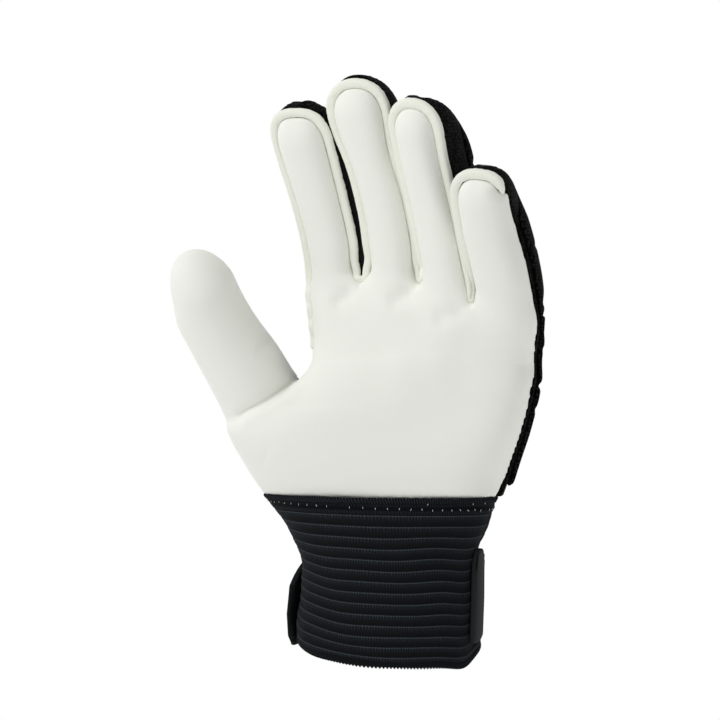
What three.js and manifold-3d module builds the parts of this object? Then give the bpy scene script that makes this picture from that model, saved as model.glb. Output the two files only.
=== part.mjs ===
// Left goalkeeper glove in its worn, upright form: fingers up (+Z), palm towards -Y,
// little finger towards +X. Units are mm. The origin is the middle of the wrist opening.
import * as THREE from "three";
import { mergeVertices, toCreasedNormals } from "three/addons/utils/BufferGeometryUtils.js";
import Module from "manifold-3d";

const wasm = await Module();
wasm.setup();

// ---------------------------------------------------------------- driving dimensions
const GAP = 0.3; // clearance between neighbouring pieces
const FOAM = 4.3; // palm foam wall
const TEXTILE = 2.6; // backhand wall
const SIDE_WALL = 3.2; // wall at the side seams
const PAD_HEIGHT = 2.6; // raised back pads above the backhand
const WELT_WIDTH = 4.2; // raised rim round the finger fronts
const WELT_RISE = 3.6; // the rim across its width, along the surface normal
const CUFF_WALL = 2.4;
const STRAP_THICK = 3.0;
const RIB_PITCH = 8.7; // every second rib of the elastic, as a shallow step
const RIB_DEPTH = 0.5;
const SIDES = 18; // points round a finger section
const PALM_SIDES = 32; // points round a palm section
const HOLLOW_SIDES = 12; // the hollow inside is coarser
const HOLLOW_PALM_SIDES = 20;

// ---------------------------------------------------------------- section tables
// Fingers. z, x, y: seam line height, across and depth; w: half width between the seams.
// front, back: how far the white front and the black back stand off the seam plane.
// tip: height where the finger ends; roll: turn of the finger round its own axis, degrees.
const FINGERS = {
  index: {
    roll: 0, tip: 237.0, round: 13, front: 8.5, back: 21, long: 27,
    rows: [
      { z: 146, x: -18.6, y: -11.4, w: 11.8 },
      { z: 161, x: -20.4, y: -10.6, w: 12.2 },
      { z: 164.2, x: -21.2, y: -10.6, w: 11.3 },
      { z: 180.8, x: -22.1, y: -14, w: 11.2 },
      { z: 198.3, x: -24.6, y: -18.5, w: 11.4 },
      { z: 215.6, x: -27.5, y: -24, w: 12.0 },
      { z: 224.2, x: -28.8, y: -27, w: 12.2 },
      { z: 232.7, x: -28.9, y: -30, w: 12.2 },
    ],
  },
  middle: {
    roll: -3, tip: 249.4, round: 13, front: 8.5, back: 22, long: 29,
    rows: [
      { z: 146, x: 6.0, y: -11.2, w: 13.4 },
      { z: 161, x: 5.6, y: -10.6, w: 13.2 },
      { z: 165, x: 6.1, y: -10.6, w: 11.8 },
      { z: 181.7, x: 6.6, y: -14, w: 11.2 },
      { z: 199, x: 5.1, y: -18.5, w: 11.1 },
      { z: 220.3, x: 0.8, y: -24.5, w: 11.1 },
      { z: 228.7, x: -0.9, y: -27, w: 12.2 },
      { z: 245.4, x: -2.3, y: -32, w: 12.7 },
    ],
  },
  ring: {
    roll: -12, tip: 240.0, round: 12, front: 8.3, back: 25, long: 32,
    rows: [
      { z: 146, x: 30.5, y: -11.6, w: 12.8 },
      { z: 160.5, x: 31.2, y: -12.6, w: 12.6 },
      { z: 167, x: 31.3, y: -14, w: 11.4 },
      { z: 182.7, x: 30.4, y: -18.5, w: 11.0 },
      { z: 199.8, x: 28.5, y: -23.5, w: 10.8 },
      { z: 220.8, x: 26.1, y: -31, w: 10.7 },
      { z: 237.4, x: 25.2, y: -37, w: 11.0 },
    ],
  },
  little: {
    roll: -5, tip: 211.6, round: 11, front: 8.0, back: 21, long: 28,
    rows: [
      { z: 138, x: 54.2, y: -2, w: 12.6 },
      { z: 148.9, x: 55.0, y: -7, w: 12.6 },
      { z: 153.6, x: 55.0, y: -9.6, w: 12.4 },
      { z: 158.1, x: 55.5, y: -12, w: 11.9 },
      { z: 171.1, x: 55.1, y: -18.5, w: 11.6 },
      { z: 188.3, x: 53.5, y: -27.5, w: 11.0 },
      { z: 205.2, x: 53.4, y: -36, w: 10.9 },
    ],
  },
};

// Palm. Each row runs from the thumb side (l) to the little-finger side (r).
// front, back: the bulge off the seam plane; nf, nb: how square its outline is;
// lean: how far the front bulge leans to the thumb side.
const PALM = [
  { xl: -59.2, yl: 2, zl: 63.55, xr: 49.8, yr: 2, zr: 69.2, front: 27, back: 25, nf: 2.3, nb: 2.4, lean: 0.0, dip: 0.142 },
  { xl: -63.6, yl: -1, zl: 71.5, xr: 51.8, yr: 4, zr: 76.4, front: 27.5, back: 24, nf: 2.35, nb: 2.5, lean: 0.1, dip: 0.11 },
  { xl: -67.9, yl: -4, zl: 81.5, xr: 54.9, yr: 4, zr: 86.3, front: 28, back: 23, nf: 2.4, nb: 2.7, lean: 0.2, dip: 0.05 },
  { xl: -70.4, yl: -8, zl: 90, xr: 58, yr: 4, zr: 95.3, front: 27, back: 22, nf: 2.5, nb: 2.8, lean: 0.25, dip: 0 },
  { xl: -70.2, yl: -12, zl: 98, xr: 60.6, yr: 4, zr: 104.3, front: 25, back: 21.5, nf: 2.7, nb: 2.8, lean: 0.3, dip: 0 },
  { xl: -62, yl: -15, zl: 104.3, xr: 62.7, yr: 4, zr: 113.1, front: 22, back: 21.5, nf: 2.9, nb: 2.8, lean: 0.25, dip: 0 },
  { xl: -52, yl: -16, zl: 109, xr: 64.3, yr: 3, zr: 121, front: 19, back: 21.5, nf: 3.0, nb: 2.8, lean: 0.15, dip: 0 },
  { xl: -42.5, yl: -16, zl: 115, xr: 65.6, yr: 2, zr: 129, front: 16.5, back: 21.5, nf: 3.0, nb: 2.8, lean: 0.1, dip: 0 },
  { xl: -35.2, yl: -15, zl: 125.2, xr: 66.5, yr: 0.5, zr: 136, front: 14.2, back: 21.5, nf: 2.9, nb: 2.8, lean: 0.05, dip: 0 },
  { xl: -29.8, yl: -13.4, zl: 132.4, xr: 67.0, yr: -2, zr: 140.6, front: 12.2, back: 21, nf: 2.8, nb: 2.8, lean: 0, dip: 0 },
  { xl: -29.9, yl: -12.2, zl: 141, xr: 67.4, yr: -5, zr: 145.4, front: 10.6, back: 20.5, nf: 2.8, nb: 2.8, lean: 0, dip: 0 },
  { xl: -30.8, yl: -11.4, zl: 149.5, xr: 67.5, yr: -8, zr: 150, front: 9.5, back: 19.5, nf: 2.7, nb: 2.8, lean: 0, dip: 0 },
  { xl: -31.6, yl: -10.9, zl: 156, xr: 67.2, yr: -10, zr: 153, front: 8.2, back: 17, nf: 2.5, nb: 2.6, lean: 0, dip: 0 },
  { xl: -32, yl: -10.8, zl: 160.5, xr: 66, yr: -11.4, zr: 155, front: 6.2, back: 13, nf: 2.4, nb: 2.5, lean: 0, dip: 0 },
];

// Thumb. s: distance along the axis; o: bow of the middle line away from the hand;
// w, d: half width and half depth.
const THUMB = {
  base: [-53.1, -4, 93.7], end: [-71.4, -48, 176.2],
  rows: [
    { s: -14, o: 1.2, w: 14, d: 12 },
    { s: 2, o: 1.1, w: 18.7, d: 16.5 },
    { s: 14, o: 1.1, w: 18.6, d: 17.5 },
    { s: 26, o: 0.0, w: 18.0, d: 17.2 },
    { s: 39, o: -1.2, w: 17.4, d: 16.6 },
    { s: 53, o: -2.9, w: 16.0, d: 15.8 },
    { s: 67.5, o: -4.6, w: 15.3, d: 15.0 },
    { s: 79, o: -3.8, w: 14.7, d: 14.4 },
  ],
  round: 17,
};

// Cuff. z: height; cx: middle; a, b: half width and half depth of the outer face.
const CUFF = [
  { z: -2.5, cx: -1.0, a: 39.6, b: 26.4 },
  { z: 1, cx: -1.4, a: 40.6, b: 27.2 },
  { z: 10, cx: -1.4, a: 40.9, b: 27.2 },
  { z: 20, cx: -0.4, a: 40.2, b: 27.0 },
  { z: 29, cx: 0.0, a: 39.9, b: 27.0 },
  { z: 38, cx: -0.1, a: 40.0, b: 27.0 },
  { z: 42.5, cx: -0.6, a: 41.0, b: 27.0 },
  { z: 47, cx: -1.2, a: 42.8, b: 27.0 },
  { z: 51.5, cx: -1.3, a: 45.2, b: 27.0 },
  { z: 56, cx: -1.8, a: 47.6, b: 27.0 },
  { z: 60.5, cx: -3.0, a: 50.2, b: 27.0 },
  { z: 67.6, cx: -4.6, a: 53.9, b: 27.0 },
];
const SEAM = { z: 66.64, x: 0.051, y: -0.142 }; // plane of the palm edge: height at the axis and its slopes
const HEM_DIP = 0.12; // the hem hangs lower at the palm side

// Back pads, seen from behind. Outline in x, z; grooves at heights z.
const PAD_GROOVES = [173, 148.6, 134.7, 118.5, 107.9];
const GROOVE_WIDTH = 2.3;

// Strap. angle: degrees round the cuff (0 = little-finger side, 90 = back, 180 = thumb side);
// mid, half: middle height and half height; off: stand-off from the cuff.
const STRAP = [
  { angle: 9.2, mid: 25.6, half: 20, off: 0.8 },
  { angle: 40, mid: 24.5, half: 20, off: 0.8 },
  { angle: 90, mid: 21, half: 20, off: 0.8 },
  { angle: 140, mid: 16, half: 19.5, off: 0.9 },
  { angle: 170, mid: 14.5, half: 19.2, off: 1.2 },
  { angle: 186, mid: 14.5, half: 18.6, off: 1.8 },
  { angle: 194, mid: 13.0, half: 16.0, off: 2.2 },
];
const ANCHOR = [
  { angle: -8, mid: 25.0, half: 20.0, off: 0.7 },
  { angle: -2, mid: 25.4, half: 20.6, off: 0.7 },
  { angle: 8, mid: 25.6, half: 20.6, off: 0.7 },
];

const COLOURS = {
  foam: { color: 0xf2f2ec, roughness: 0.62 },
  welt: { color: 0xf0f0ea, roughness: 0.7 },
  textile: { color: 0x101114, roughness: 0.85 },
  pad: { color: 0x15161a, roughness: 0.8 },
  elastic: { color: 0x14171f, roughness: 0.88 },
  strap: { color: 0x121316, roughness: 0.75 },
  rubber: { color: 0x26282b, roughness: 0.55 },
};

// ---------------------------------------------------------------- small tools
const V = (x, y, z) => new THREE.Vector3(x, y, z);
const rad = THREE.MathUtils.degToRad;

// Value of a column between the rows of a table, along its key column.
function column(rows, key, name, at) {
  if (at <= rows[0][key]) return rows[0][name];
  for (let i = 1; i < rows.length; i++) {
    const a = rows[i - 1], b = rows[i];
    if (at <= b[key]) {
      const t = (at - a[key]) / (b[key] - a[key]);
      return a[name] + (b[name] - a[name]) * t;
    }
  }
  return rows[rows.length - 1][name];
}

// Solid from rings of equal point count, closed by a fan at each end.
function loft(rings) {
  const n = rings[0].length, verts = [], tris = [];
  for (const ring of rings) for (const p of ring) verts.push(p.x, p.y, p.z);
  for (let r = 0; r + 1 < rings.length; r++)
    for (let i = 0; i < n; i++) {
      const j = (i + 1) % n, a = r * n + i, b = r * n + j, c = (r + 1) * n + j, d = (r + 1) * n + i;
      tris.push(a, b, c, a, c, d);
    }
  const cap = (ring, start, flip) => {
    const m = ring.reduce((s, p) => s.add(p), V(0, 0, 0)).divideScalar(n);
    const k = verts.length / 3;
    verts.push(m.x, m.y, m.z);
    for (let i = 0; i < n; i++) {
      const j = (i + 1) % n;
      flip ? tris.push(k, start + j, start + i) : tris.push(k, start + i, start + j);
    }
  };
  cap(rings[0], 0, true);
  cap(rings[rings.length - 1], (rings.length - 1) * n, false);
  return solid(verts, tris);
}

function solid(verts, tris) {
  let m = new wasm.Manifold(
    new wasm.Mesh({ numProp: 3, vertProperties: new Float32Array(verts), triVerts: new Uint32Array(tris) }),
  );
  if (m.volume() < 0) {
    for (let i = 0; i < tris.length; i += 3) [tris[i + 1], tris[i + 2]] = [tris[i + 2], tris[i + 1]];
    m = new wasm.Manifold(
      new wasm.Mesh({ numProp: 3, vertProperties: new Float32Array(verts), triVerts: new Uint32Array(tris) }),
    );
  }
  return m;
}

// The largest connected piece of a body: cuts can leave crumbs at thin edges.
function largest(body) {
  const raw = body.getMesh(), flat = new THREE.BufferGeometry();
  flat.setAttribute("position", new THREE.BufferAttribute(new Float32Array(raw.vertProperties), 3));
  flat.setIndex(new THREE.BufferAttribute(new Uint32Array(raw.triVerts), 1));
  const m = fromGeometry(flat.toNonIndexed()).getMesh(), T = m.triVerts, faces = T.length / 3;
  const parent = Array.from({ length: faces }, (_, i) => i), byEdge = new Map();
  const find = (i) => {
    while (parent[i] !== i) i = parent[i] = parent[parent[i]];
    return i;
  };
  for (let f = 0; f < faces; f++)
    for (let k = 0; k < 3; k++) {
      const a = T[3 * f + k], b = T[3 * f + ((k + 1) % 3)];
      const key = Math.min(a, b) * 1e6 + Math.max(a, b);
      if (byEdge.has(key)) parent[find(f)] = find(byEdge.get(key));
      else byEdge.set(key, f);
    }
  const sets = new Map();
  for (let f = 0; f < faces; f++) {
    const k = find(f);
    if (!sets.has(k)) sets.set(k, []);
    sets.get(k).push(T[3 * f], T[3 * f + 1], T[3 * f + 2]);
  }
  const best = [...sets.values()].sort((a, b) => b.length - a.length)[0];
  const verts = [], index = new Map();
  const tris = best.map((v) => {
    if (!index.has(v)) {
      index.set(v, verts.length / 3);
      verts.push(m.vertProperties[3 * v], m.vertProperties[3 * v + 1], m.vertProperties[3 * v + 2]);
    }
    return index.get(v);
  });
  return solid(verts, tris);
}

const join = (parts) => parts.reduce((a, b) => a.add(b));
const power = (v, e) => Math.sign(v) * Math.abs(v) ** e;

// Points of a section. side: "whole", "front" or "back"; the flat chord closes a half.
function section(c, e1, e2, w, front, back, nf, nb, side, count, lean = 0, shift = 0) {
  const pts = [];
  const half = count / 2;
  const arc = (sign, depth, n, from, to, steps) => {
    for (let i = 0; i <= steps; i++) {
      const t = from + ((to - from) * i) / steps;
      const u = power(Math.cos(t), 2 / n), v = power(Math.sin(t), 2 / n);
      const d = depth * (1 - lean * u * (1 - u * u) * 1.5);
      pts.push(c.clone().addScaledVector(e1, w * u).addScaledVector(e2, sign * d * Math.abs(v)));
    }
  };
  if (side !== "back") arc(-1, front, nf, Math.PI, 0, half);
  if (side === "whole") {
    pts.pop();
    arc(1, back, nb, 0, Math.PI, half);
    pts.pop();
  }
  if (side === "back") arc(1, back, nb, 0, Math.PI, half);
  if (side !== "whole" && shift) {
    // close the half a little past the seam plane
    const s = side === "front" ? 1 : -1, a = pts[0].clone(), b = pts[pts.length - 1].clone();
    pts.push(b.addScaledVector(e2, s * shift));
    pts.push(a.addScaledVector(e2, s * shift));
  }
  return pts;
}

// ---------------------------------------------------------------- fingers
const CAP_STEPS = [0, 0.3, 0.55, 0.76, 0.9, 0.98];
const HOLLOW_CAP_STEPS = [0, 0.45, 0.8, 0.97];

function fingerRings(f, side, grow, shift, count = SIDES) {
  // grow: added to w, front, back; negative for the hollow
  const g = typeof grow === "number" ? { w: grow, front: grow, back: grow, tip: grow } : grow;
  const last = f.rows[f.rows.length - 1];
  const tip = f.tip + g.tip, capLow = tip - f.round;
  const heights = f.rows.map((r) => r.z).filter((z) => z < capLow - 1.5);
  const caps = count === SIDES ? CAP_STEPS : HOLLOW_CAP_STEPS;
  for (const s of caps) heights.push(capLow + s * f.round);
  const e1roll = V(Math.cos(rad(f.roll)), Math.sin(rad(f.roll)), 0);
  const at = (z) => {
    // the middle line runs straight on above the last row
    const prev = f.rows[f.rows.length - 3];
    if (z > last.z) {
      const t = (z - last.z) / (last.z - prev.z);
      return V(last.x + (last.x - prev.x) * t * 0.4, last.y + (last.y - prev.y) * t, z);
    }
    return V(column(f.rows, "z", "x", z), column(f.rows, "z", "y", z), z);
  };
  return heights.map((z) => {
    const c = at(z);
    const t = at(Math.min(z, last.z) + 4).sub(at(Math.min(z, last.z) - 4)).normalize();
    const e1 = e1roll.clone().addScaledVector(t, -e1roll.dot(t)).normalize();
    const e2 = V(0, 0, 0).crossVectors(t, e1);
    const d = Math.max(0, (z - capLow) / f.round);
    const capW = (1 - d ** 2.2) ** (1 / 2.2);
    // the front rounds in over a short length, the back over a longer one
    const dist = Math.max(0.02, tip - z);
    const long = (L, n) => { const k = Math.max(0, 1 - dist / L); return (1 - k ** n) ** (1 / n); };
    const base = Math.min(1, Math.max(0, (z - f.rows[0].z) / 18));
    return section(
      c, e1, e2,
      Math.max(0.3, (column(f.rows, "z", "w", z) + g.w) * capW),
      Math.max(0.3, (f.front + g.front) * long(11, 2.1) * (0.86 + 0.14 * base)),
      Math.max(0.3, (f.back + g.back) * long(f.long, 1.75) * (0.85 + 0.15 * base)),
      2.3, 2.7, side, count, 0, shift,
    );
  });
}

// ---------------------------------------------------------------- palm
function palmRings(side, grow, shift, drop = 0, count = PALM_SIDES) {
  const g = typeof grow === "number" ? { w: grow, front: grow, back: grow } : grow;
  const rings = PALM.map((r, k) => {
    const L = V(r.xl, r.yl, r.zl), R = V(r.xr, r.yr, r.zr);
    const c = L.clone().add(R).multiplyScalar(0.5), e1 = R.clone().sub(L), w = e1.length() / 2;
    e1.normalize();
    const up = V(0, 1, -r.dip), e2 = up.addScaledVector(e1, -e1.dot(up)).normalize();
    // the back stands a little wider than the front on the little-finger side
    c.addScaledVector(e1, (g.wide ?? 0) / 2);
    const w2 = w + (g.wide ?? 0) / 2;
    // the hollow ends lower than the shell at the crotches
    const cut = drop && k === PALM.length - 1 ? drop : 0;
    c.z -= cut;
    return section(c, e1, e2, w2 + g.w, r.front + g.front, r.back + g.back, r.nf, r.nb, side, count, r.lean, shift);
  });
  return rings;
}

// ---------------------------------------------------------------- thumb
// side: "whole", "front" (foam, wrapped round both sides) or "back" (the strip behind).
const WRAP = rad(38); // how far the foam wraps past the middle of each side
function thumbRings(grow, side = "whole", count = 20, shift = 0) {
  const B = V(...THUMB.base), E = V(...THUMB.end), a = E.clone().sub(B), len = a.length();
  a.normalize();
  const e2 = V(0, 1, 0).addScaledVector(a, -a.y).normalize(), e1 = V(0, 0, 0).crossVectors(e2, a);
  const tip = len + grow, capLow = tip - THUMB.round, rings = [];
  const stations = THUMB.rows.map((r) => r.s).filter((s) => s < capLow - 1);
  for (const s of CAP_STEPS) stations.push(capLow + s * THUMB.round);
  for (const s of stations) {
    const d = Math.max(0, (s - capLow) / THUMB.round), cap = (1 - d ** 2.1) ** (1 / 2.1);
    const o = s > 79 ? -3.8 * (1 - (s - 79) / (len - 79)) : column(THUMB.rows, "s", "o", s);
    const c = B.clone().addScaledVector(a, s).addScaledVector(e1, o);
    const w = Math.max(0.3, (column(THUMB.rows, "s", "w", s) + grow) * cap);
    const dd = Math.max(0.3, (column(THUMB.rows, "s", "d", s) + grow) * cap);
    const from = side === "back" ? Math.PI + WRAP : side === "front" ? -WRAP : 0;
    const to = side === "back" ? 2 * Math.PI - WRAP : side === "front" ? Math.PI + WRAP : 2 * Math.PI;
    const steps = Math.round((count * (to - from)) / (2 * Math.PI)), pts = [];
    for (let i = 0; i <= steps - (side === "whole" ? 1 : 0); i++) {
      const t = from + ((to - from) * i) / steps;
      pts.push(c.clone().addScaledVector(e1, w * power(Math.cos(t), 0.93)).addScaledVector(e2, -dd * power(Math.sin(t), 0.93)));
    }
    if (shift) {
      const n = pts.length;
      pts.push(pts[n - 1].clone().addScaledVector(e2, shift), pts[0].clone().addScaledVector(e2, shift));
    }
    rings.push(pts);
  }
  return rings;
}

const names = Object.keys(FINGERS);
// Front and back halves. The white front stops inside the raised rim; the back reaches a little past it.
const FRONT_INSET = 1.6, BACK_WIDER = 0.8, ULNAR_WIDER = 1.2;
const frontGrow = (g) => ({ w: g - FRONT_INSET, front: g, back: g, tip: g - FRONT_INSET });
const backGrow = (g) => ({ w: g + BACK_WIDER, front: g, back: g, tip: g });
const palmGrow = (g, side) => ({ w: g, front: g, back: g, wide: side === "back" ? ULNAR_WIDER : 0 });

function half(side, g, shift) {
  const grow = side === "front" ? frontGrow(g) : backGrow(g);
  return join([
    ...names.map((n) => loft(fingerRings(FINGERS[n], side, grow, shift))),
    loft(palmRings(side, palmGrow(g, side), shift)),
  ]);
}

// the hollow: four fingers, palm, thumb, and its way out through the wrist
function hollow() {
  const parts = [];
  for (const side of ["front", "back"]) {
    const wall = side === "front" ? FOAM : TEXTILE;
    const grow = side === "front"
      ? { w: -FRONT_INSET - 3, front: -FOAM, back: 0, tip: -FRONT_INSET - 4 }
      : { w: BACK_WIDER - 3, front: 0, back: -TEXTILE, tip: -4.6 };
    parts.push(...names.map((n) => loft(fingerRings(FINGERS[n], side, grow, 0.5, HOLLOW_SIDES))));
    const palm = palmRings(side, { w: -SIDE_WALL, front: -wall, back: -wall, wide: 0 }, 0.5, 2, HOLLOW_PALM_SIDES);
    const below = palm[0].map((p) => p.clone().add(V(0, 0, -8)));
    parts.push(loft([below, ...palm]));
  }
  parts.push(loft(thumbRings(-FOAM, "whole", 14)));
  return join(parts);
}

const inside = hollow();
const thumbFront = loft(thumbRings(0, "front")), thumbBack = loft(thumbRings(0, "back"));
const frontHalf = half("front", 0, 0);
const frontGrown = half("front", GAP, GAP).add(loft(thumbRings(GAP, "front", 20, GAP)));
const backHalf = half("back", 0, 0);
const palmFoam = largest(frontHalf.add(thumbFront).subtract(inside));
const backhand = largest(backHalf.add(thumbBack).subtract(frontGrown).subtract(inside));
const bodyGrown = frontGrown.add(half("back", GAP, GAP)).add(loft(thumbRings(GAP)));

// ---------------------------------------------------------------- raised rim
// A bead swept along the seam of each finger, from crotch to crotch.
function bead(points, width, rise) {
  const curve = new THREE.CatmullRomCurve3(points, false, "centripetal");
  const steps = Math.round(curve.getLength() / 5.5);
  const frames = [];
  for (let i = 0; i <= steps; i++) {
    const t = i / steps, p = curve.getPointAt(t), tan = curve.getTangentAt(t);
    const e2 = V(0, 1, 0).addScaledVector(tan, -tan.y).normalize();
    const e1 = V(0, 0, 0).crossVectors(e2, tan);
    frames.push({ p, e1, e2 });
  }
  return loft(frames.map(({ p, e1, e2 }) => section(p, e1, e2, width / 2, rise / 2, rise / 2, 2.2, 2.2, "whole", 8)));
}

function seamPoints(f) {
  const rings = fingerRings(f, "front", { w: 0, front: 0, back: 0, tip: 0 }, 0).slice(1);
  const left = rings.map((r) => r[0]), right = rings.map((r) => r[r.length - 1]);
  left.pop();
  right.pop();
  return { left, right, top: rings[rings.length - 1][0].clone().lerp(rings[rings.length - 1][rings[0].length - 1], 0.5) };
}

function rim() {
  const parts = [];
  const seams = names.map((n) => seamPoints(FINGERS[n]));
  const start = V(-29.4, -13.6, 132.5);
  for (let i = 0; i < names.length; i++) {
    const s = seams[i];
    const pts = [];
    if (i === 0) pts.push(start, V(-29.7, -12.4, 141), V(-30.8, -11.6, 150));
    else pts.push(seams[i - 1].right[0].clone().lerp(s.left[0], 0.5).add(V(0, -0.4, -0.6)));
    pts.push(...s.left.slice(i === 0 ? 1 : 1), s.top, ...s.right.slice(1).reverse());
    if (i < names.length - 1) pts.push(s.right[0].clone().lerp(seams[i + 1].left[0], 0.5).add(V(0, -0.4, -0.6)));
    else pts.length -= 4; // the rim ends on the outer side of the little fingertip
    parts.push(bead(pts.map((p) => p.clone().add(V(0, -0.9, 0))), WELT_WIDTH, WELT_RISE));
  }
  return largest(join(parts).subtract(bodyGrown));
}

// ---------------------------------------------------------------- back pads
// Prism along Y over an outline in x, z.
function prism(outline, y0, y1) {
  const shape = new THREE.Shape(outline.map(([x, z]) => new THREE.Vector2(x, z)));
  const g = new THREE.ExtrudeGeometry(shape, { depth: y1 - y0, bevelEnabled: false, curveSegments: 4 });
  g.rotateX(Math.PI / 2).translate(0, y1, 0);
  return fromGeometry(g);
}
function fromGeometry(g) {
  const m = mergeVertices(new THREE.BufferGeometry().setAttribute("position", g.getAttribute("position")), 1e-3);
  return solid(Array.from(m.attributes.position.array), Array.from(m.index.array));
}
function fingerPad(f, rowsBelow) {
  // a strip over the finger back, between two angles of the section
  const outer = fingerRings(f, "back", { w: BACK_WIDER + PAD_HEIGHT * 0.7, front: 0, back: PAD_HEIGHT, tip: 1.4 }, 0);
  const inner = fingerRings(f, "back", { w: -1, front: 0, back: -1, tip: -1 }, 0);
  const from = 2, to = outer[0].length - 3;
  const rings = [];
  for (let k = rowsBelow; k < outer.length - 3; k++) {
    const up = outer[k].slice(from, to + 1), down = inner[k].slice(from, to + 1).reverse();
    rings.push([...up, ...down]);
  }
  return largest(loft(rings).subtract(bodyGrown));
}

function backPanel() {
  const outer = palmRings("back", { w: 1.6, front: 0, back: PAD_HEIGHT, wide: ULNAR_WIDER + 2 }, 0);
  const inner = palmRings("back", { w: -1, front: 0, back: -1 }, 0);
  const from = 2, to = outer[0].length - 5;
  const rings = [];
  for (let k = 1; k < outer.length - 1; k++) {
    const up = outer[k].slice(from, to + 1), down = inner[k].slice(from, to + 1).reverse();
    rings.push([...up, ...down]);
  }
  let panel = loft(rings);
  // shallow grooves across the panel
  const skin = half("back", GAP + 1.1, 0);
  for (const z of PAD_GROOVES) {
    const g = prism([[-80, z - GROOVE_WIDTH / 2 - 4], [80, z - GROOVE_WIDTH / 2 + 1], [80, z + GROOVE_WIDTH / 2 + 1], [-80, z + GROOVE_WIDTH / 2 - 4]], -10, 60).subtract(skin);
    panel = panel.subtract(g);
  }
  return largest(panel.subtract(bodyGrown));
}

// ---------------------------------------------------------------- cuff and strap
function cuffRing(z, grow, count = 40) {
  const cx = column(CUFF, "z", "cx", z), a = column(CUFF, "z", "a", z) + grow, b = column(CUFF, "z", "b", z) + grow;
  const pts = [];
  for (let i = 0; i < count; i++) {
    const t = (2 * Math.PI * i) / count;
    pts.push(V(cx + a * power(Math.cos(t), 0.95), b * power(Math.sin(t), 0.95), z));
  }
  return pts;
}
// the top of the cuff follows the slanted edge of the palm, the hem its own dip
function slant(ring, amount) {
  return ring.map((p) => V(p.x, p.y, p.z + amount * (SEAM.z - CUFF_TOP + SEAM.x * p.x + SEAM.y * p.y) + (1 - amount) * HEM_DIP * p.y));
}
const CUFF_TOP = CUFF[CUFF.length - 1].z;
const leanAt = (z) => Math.max(0, Math.min(1, (z - 12) / (CUFF_TOP - 12)));
function cuff() {
  const rings = [];
  const top = CUFF_TOP - GAP;
  const heights = [];
  for (let z = 0; z < top - 2; z += RIB_PITCH / 2) heights.push(z);
  heights.push(top);
  const outer = heights.map((z, i) => slant(cuffRing(z, i % 2 ? 0 : -RIB_DEPTH), leanAt(z)));
  const inner = [top, 56, 47, 38, 20, 0].map((z) => slant(cuffRing(z, -CUFF_WALL - RIB_DEPTH), leanAt(z)));
  rings.push(...outer, ...inner);
  return tube(rings);
}
// Solid ring: the last ring joins back to the first.
function tube(rings) {
  const n = rings[0].length, m = rings.length, verts = [], tris = [];
  for (const ring of rings) for (const p of ring) verts.push(p.x, p.y, p.z);
  for (let r = 0; r < m; r++)
    for (let i = 0; i < n; i++) {
      const q = (r + 1) % m, j = (i + 1) % n;
      tris.push(r * n + i, r * n + j, q * n + j, r * n + i, q * n + j, q * n + i);
    }
  return solid(verts, tris);
}
function seamBand() {
  const band = (z, grow) => slant(cuffRing(z, grow), 1);
  const zt = CUFF_TOP;
  return tube([band(zt - 4.6, GAP), band(zt - 4.4, 1.0), band(zt - 2.4, 1.3), band(zt - GAP, 1.0), band(zt - GAP, GAP)]);
}
function strapPiece(rows, steps) {
  const rings = [];
  const a0 = rows[0].angle, a1 = rows[rows.length - 1].angle;
  for (let i = 0; i <= steps; i++) {
    const angle = a0 + ((a1 - a0) * i) / steps, t = rad(angle);
    const mid = column(rows, "angle", "mid", angle), h = column(rows, "angle", "half", angle), off = column(rows, "angle", "off", angle);
    const point = (z, o) => {
      const cx = column(CUFF, "z", "cx", z);
      // the strap bridges the funnel at the top of the cuff
      const a0 = column(CUFF, "z", "a", z), b = column(CUFF, "z", "b", z) + o;
      const a = a0 < 42.5 ? a0 + o : 42.5 + (a0 - 42.5) * 0.75 + o;
      return V(cx + a * power(Math.cos(t), 0.95), b * power(Math.sin(t), 0.95), z);
    };
    const zs = [mid - h, mid - h * 0.4, mid + h * 0.4, mid + h];
    rings.push([...zs.map((z) => point(z, off)), ...zs.reverse().map((z) => point(z, off + STRAP_THICK))]);
  }
  return loft(rings);
}

// ---------------------------------------------------------------- assembly
const group = new THREE.Group();
group.name = "goalkeeper_glove";

function place(name, body, look) {
  const m = body.getMesh();
  const g = new THREE.BufferGeometry();
  g.setAttribute("position", new THREE.BufferAttribute(new Float32Array(m.vertProperties), 3));
  g.setIndex(new THREE.BufferAttribute(new Uint32Array(m.triVerts), 1));
  const shown = toCreasedNormals(g, rad(50));
  const mesh = new THREE.Mesh(shown, new THREE.MeshStandardMaterial({ ...look, metalness: 0 }));
  mesh.name = name;
  group.add(mesh);
}

const pads = names.map((n) => fingerPad(FINGERS[n], 3));
place("palm_foam", palmFoam, COLOURS.foam);
place("backhand", backhand, COLOURS.textile);
place("finger_welt", rim(), COLOURS.welt);
place("back_panel", backPanel(), COLOURS.pad);
names.forEach((n, i) => place("finger_pad_" + n, pads[i], COLOURS.pad));
place("wrist_cuff", cuff(), COLOURS.elastic);
place("cuff_seam_band", seamBand(), COLOURS.elastic);
place("wrist_strap", strapPiece(STRAP, 22), COLOURS.strap);
place("strap_anchor", strapPiece(ANCHOR, 4), COLOURS.rubber);

export default group;
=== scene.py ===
"""Left goalkeeper glove, worn form. Tables are in millimetres; meshes are made in metres."""
import math

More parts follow.
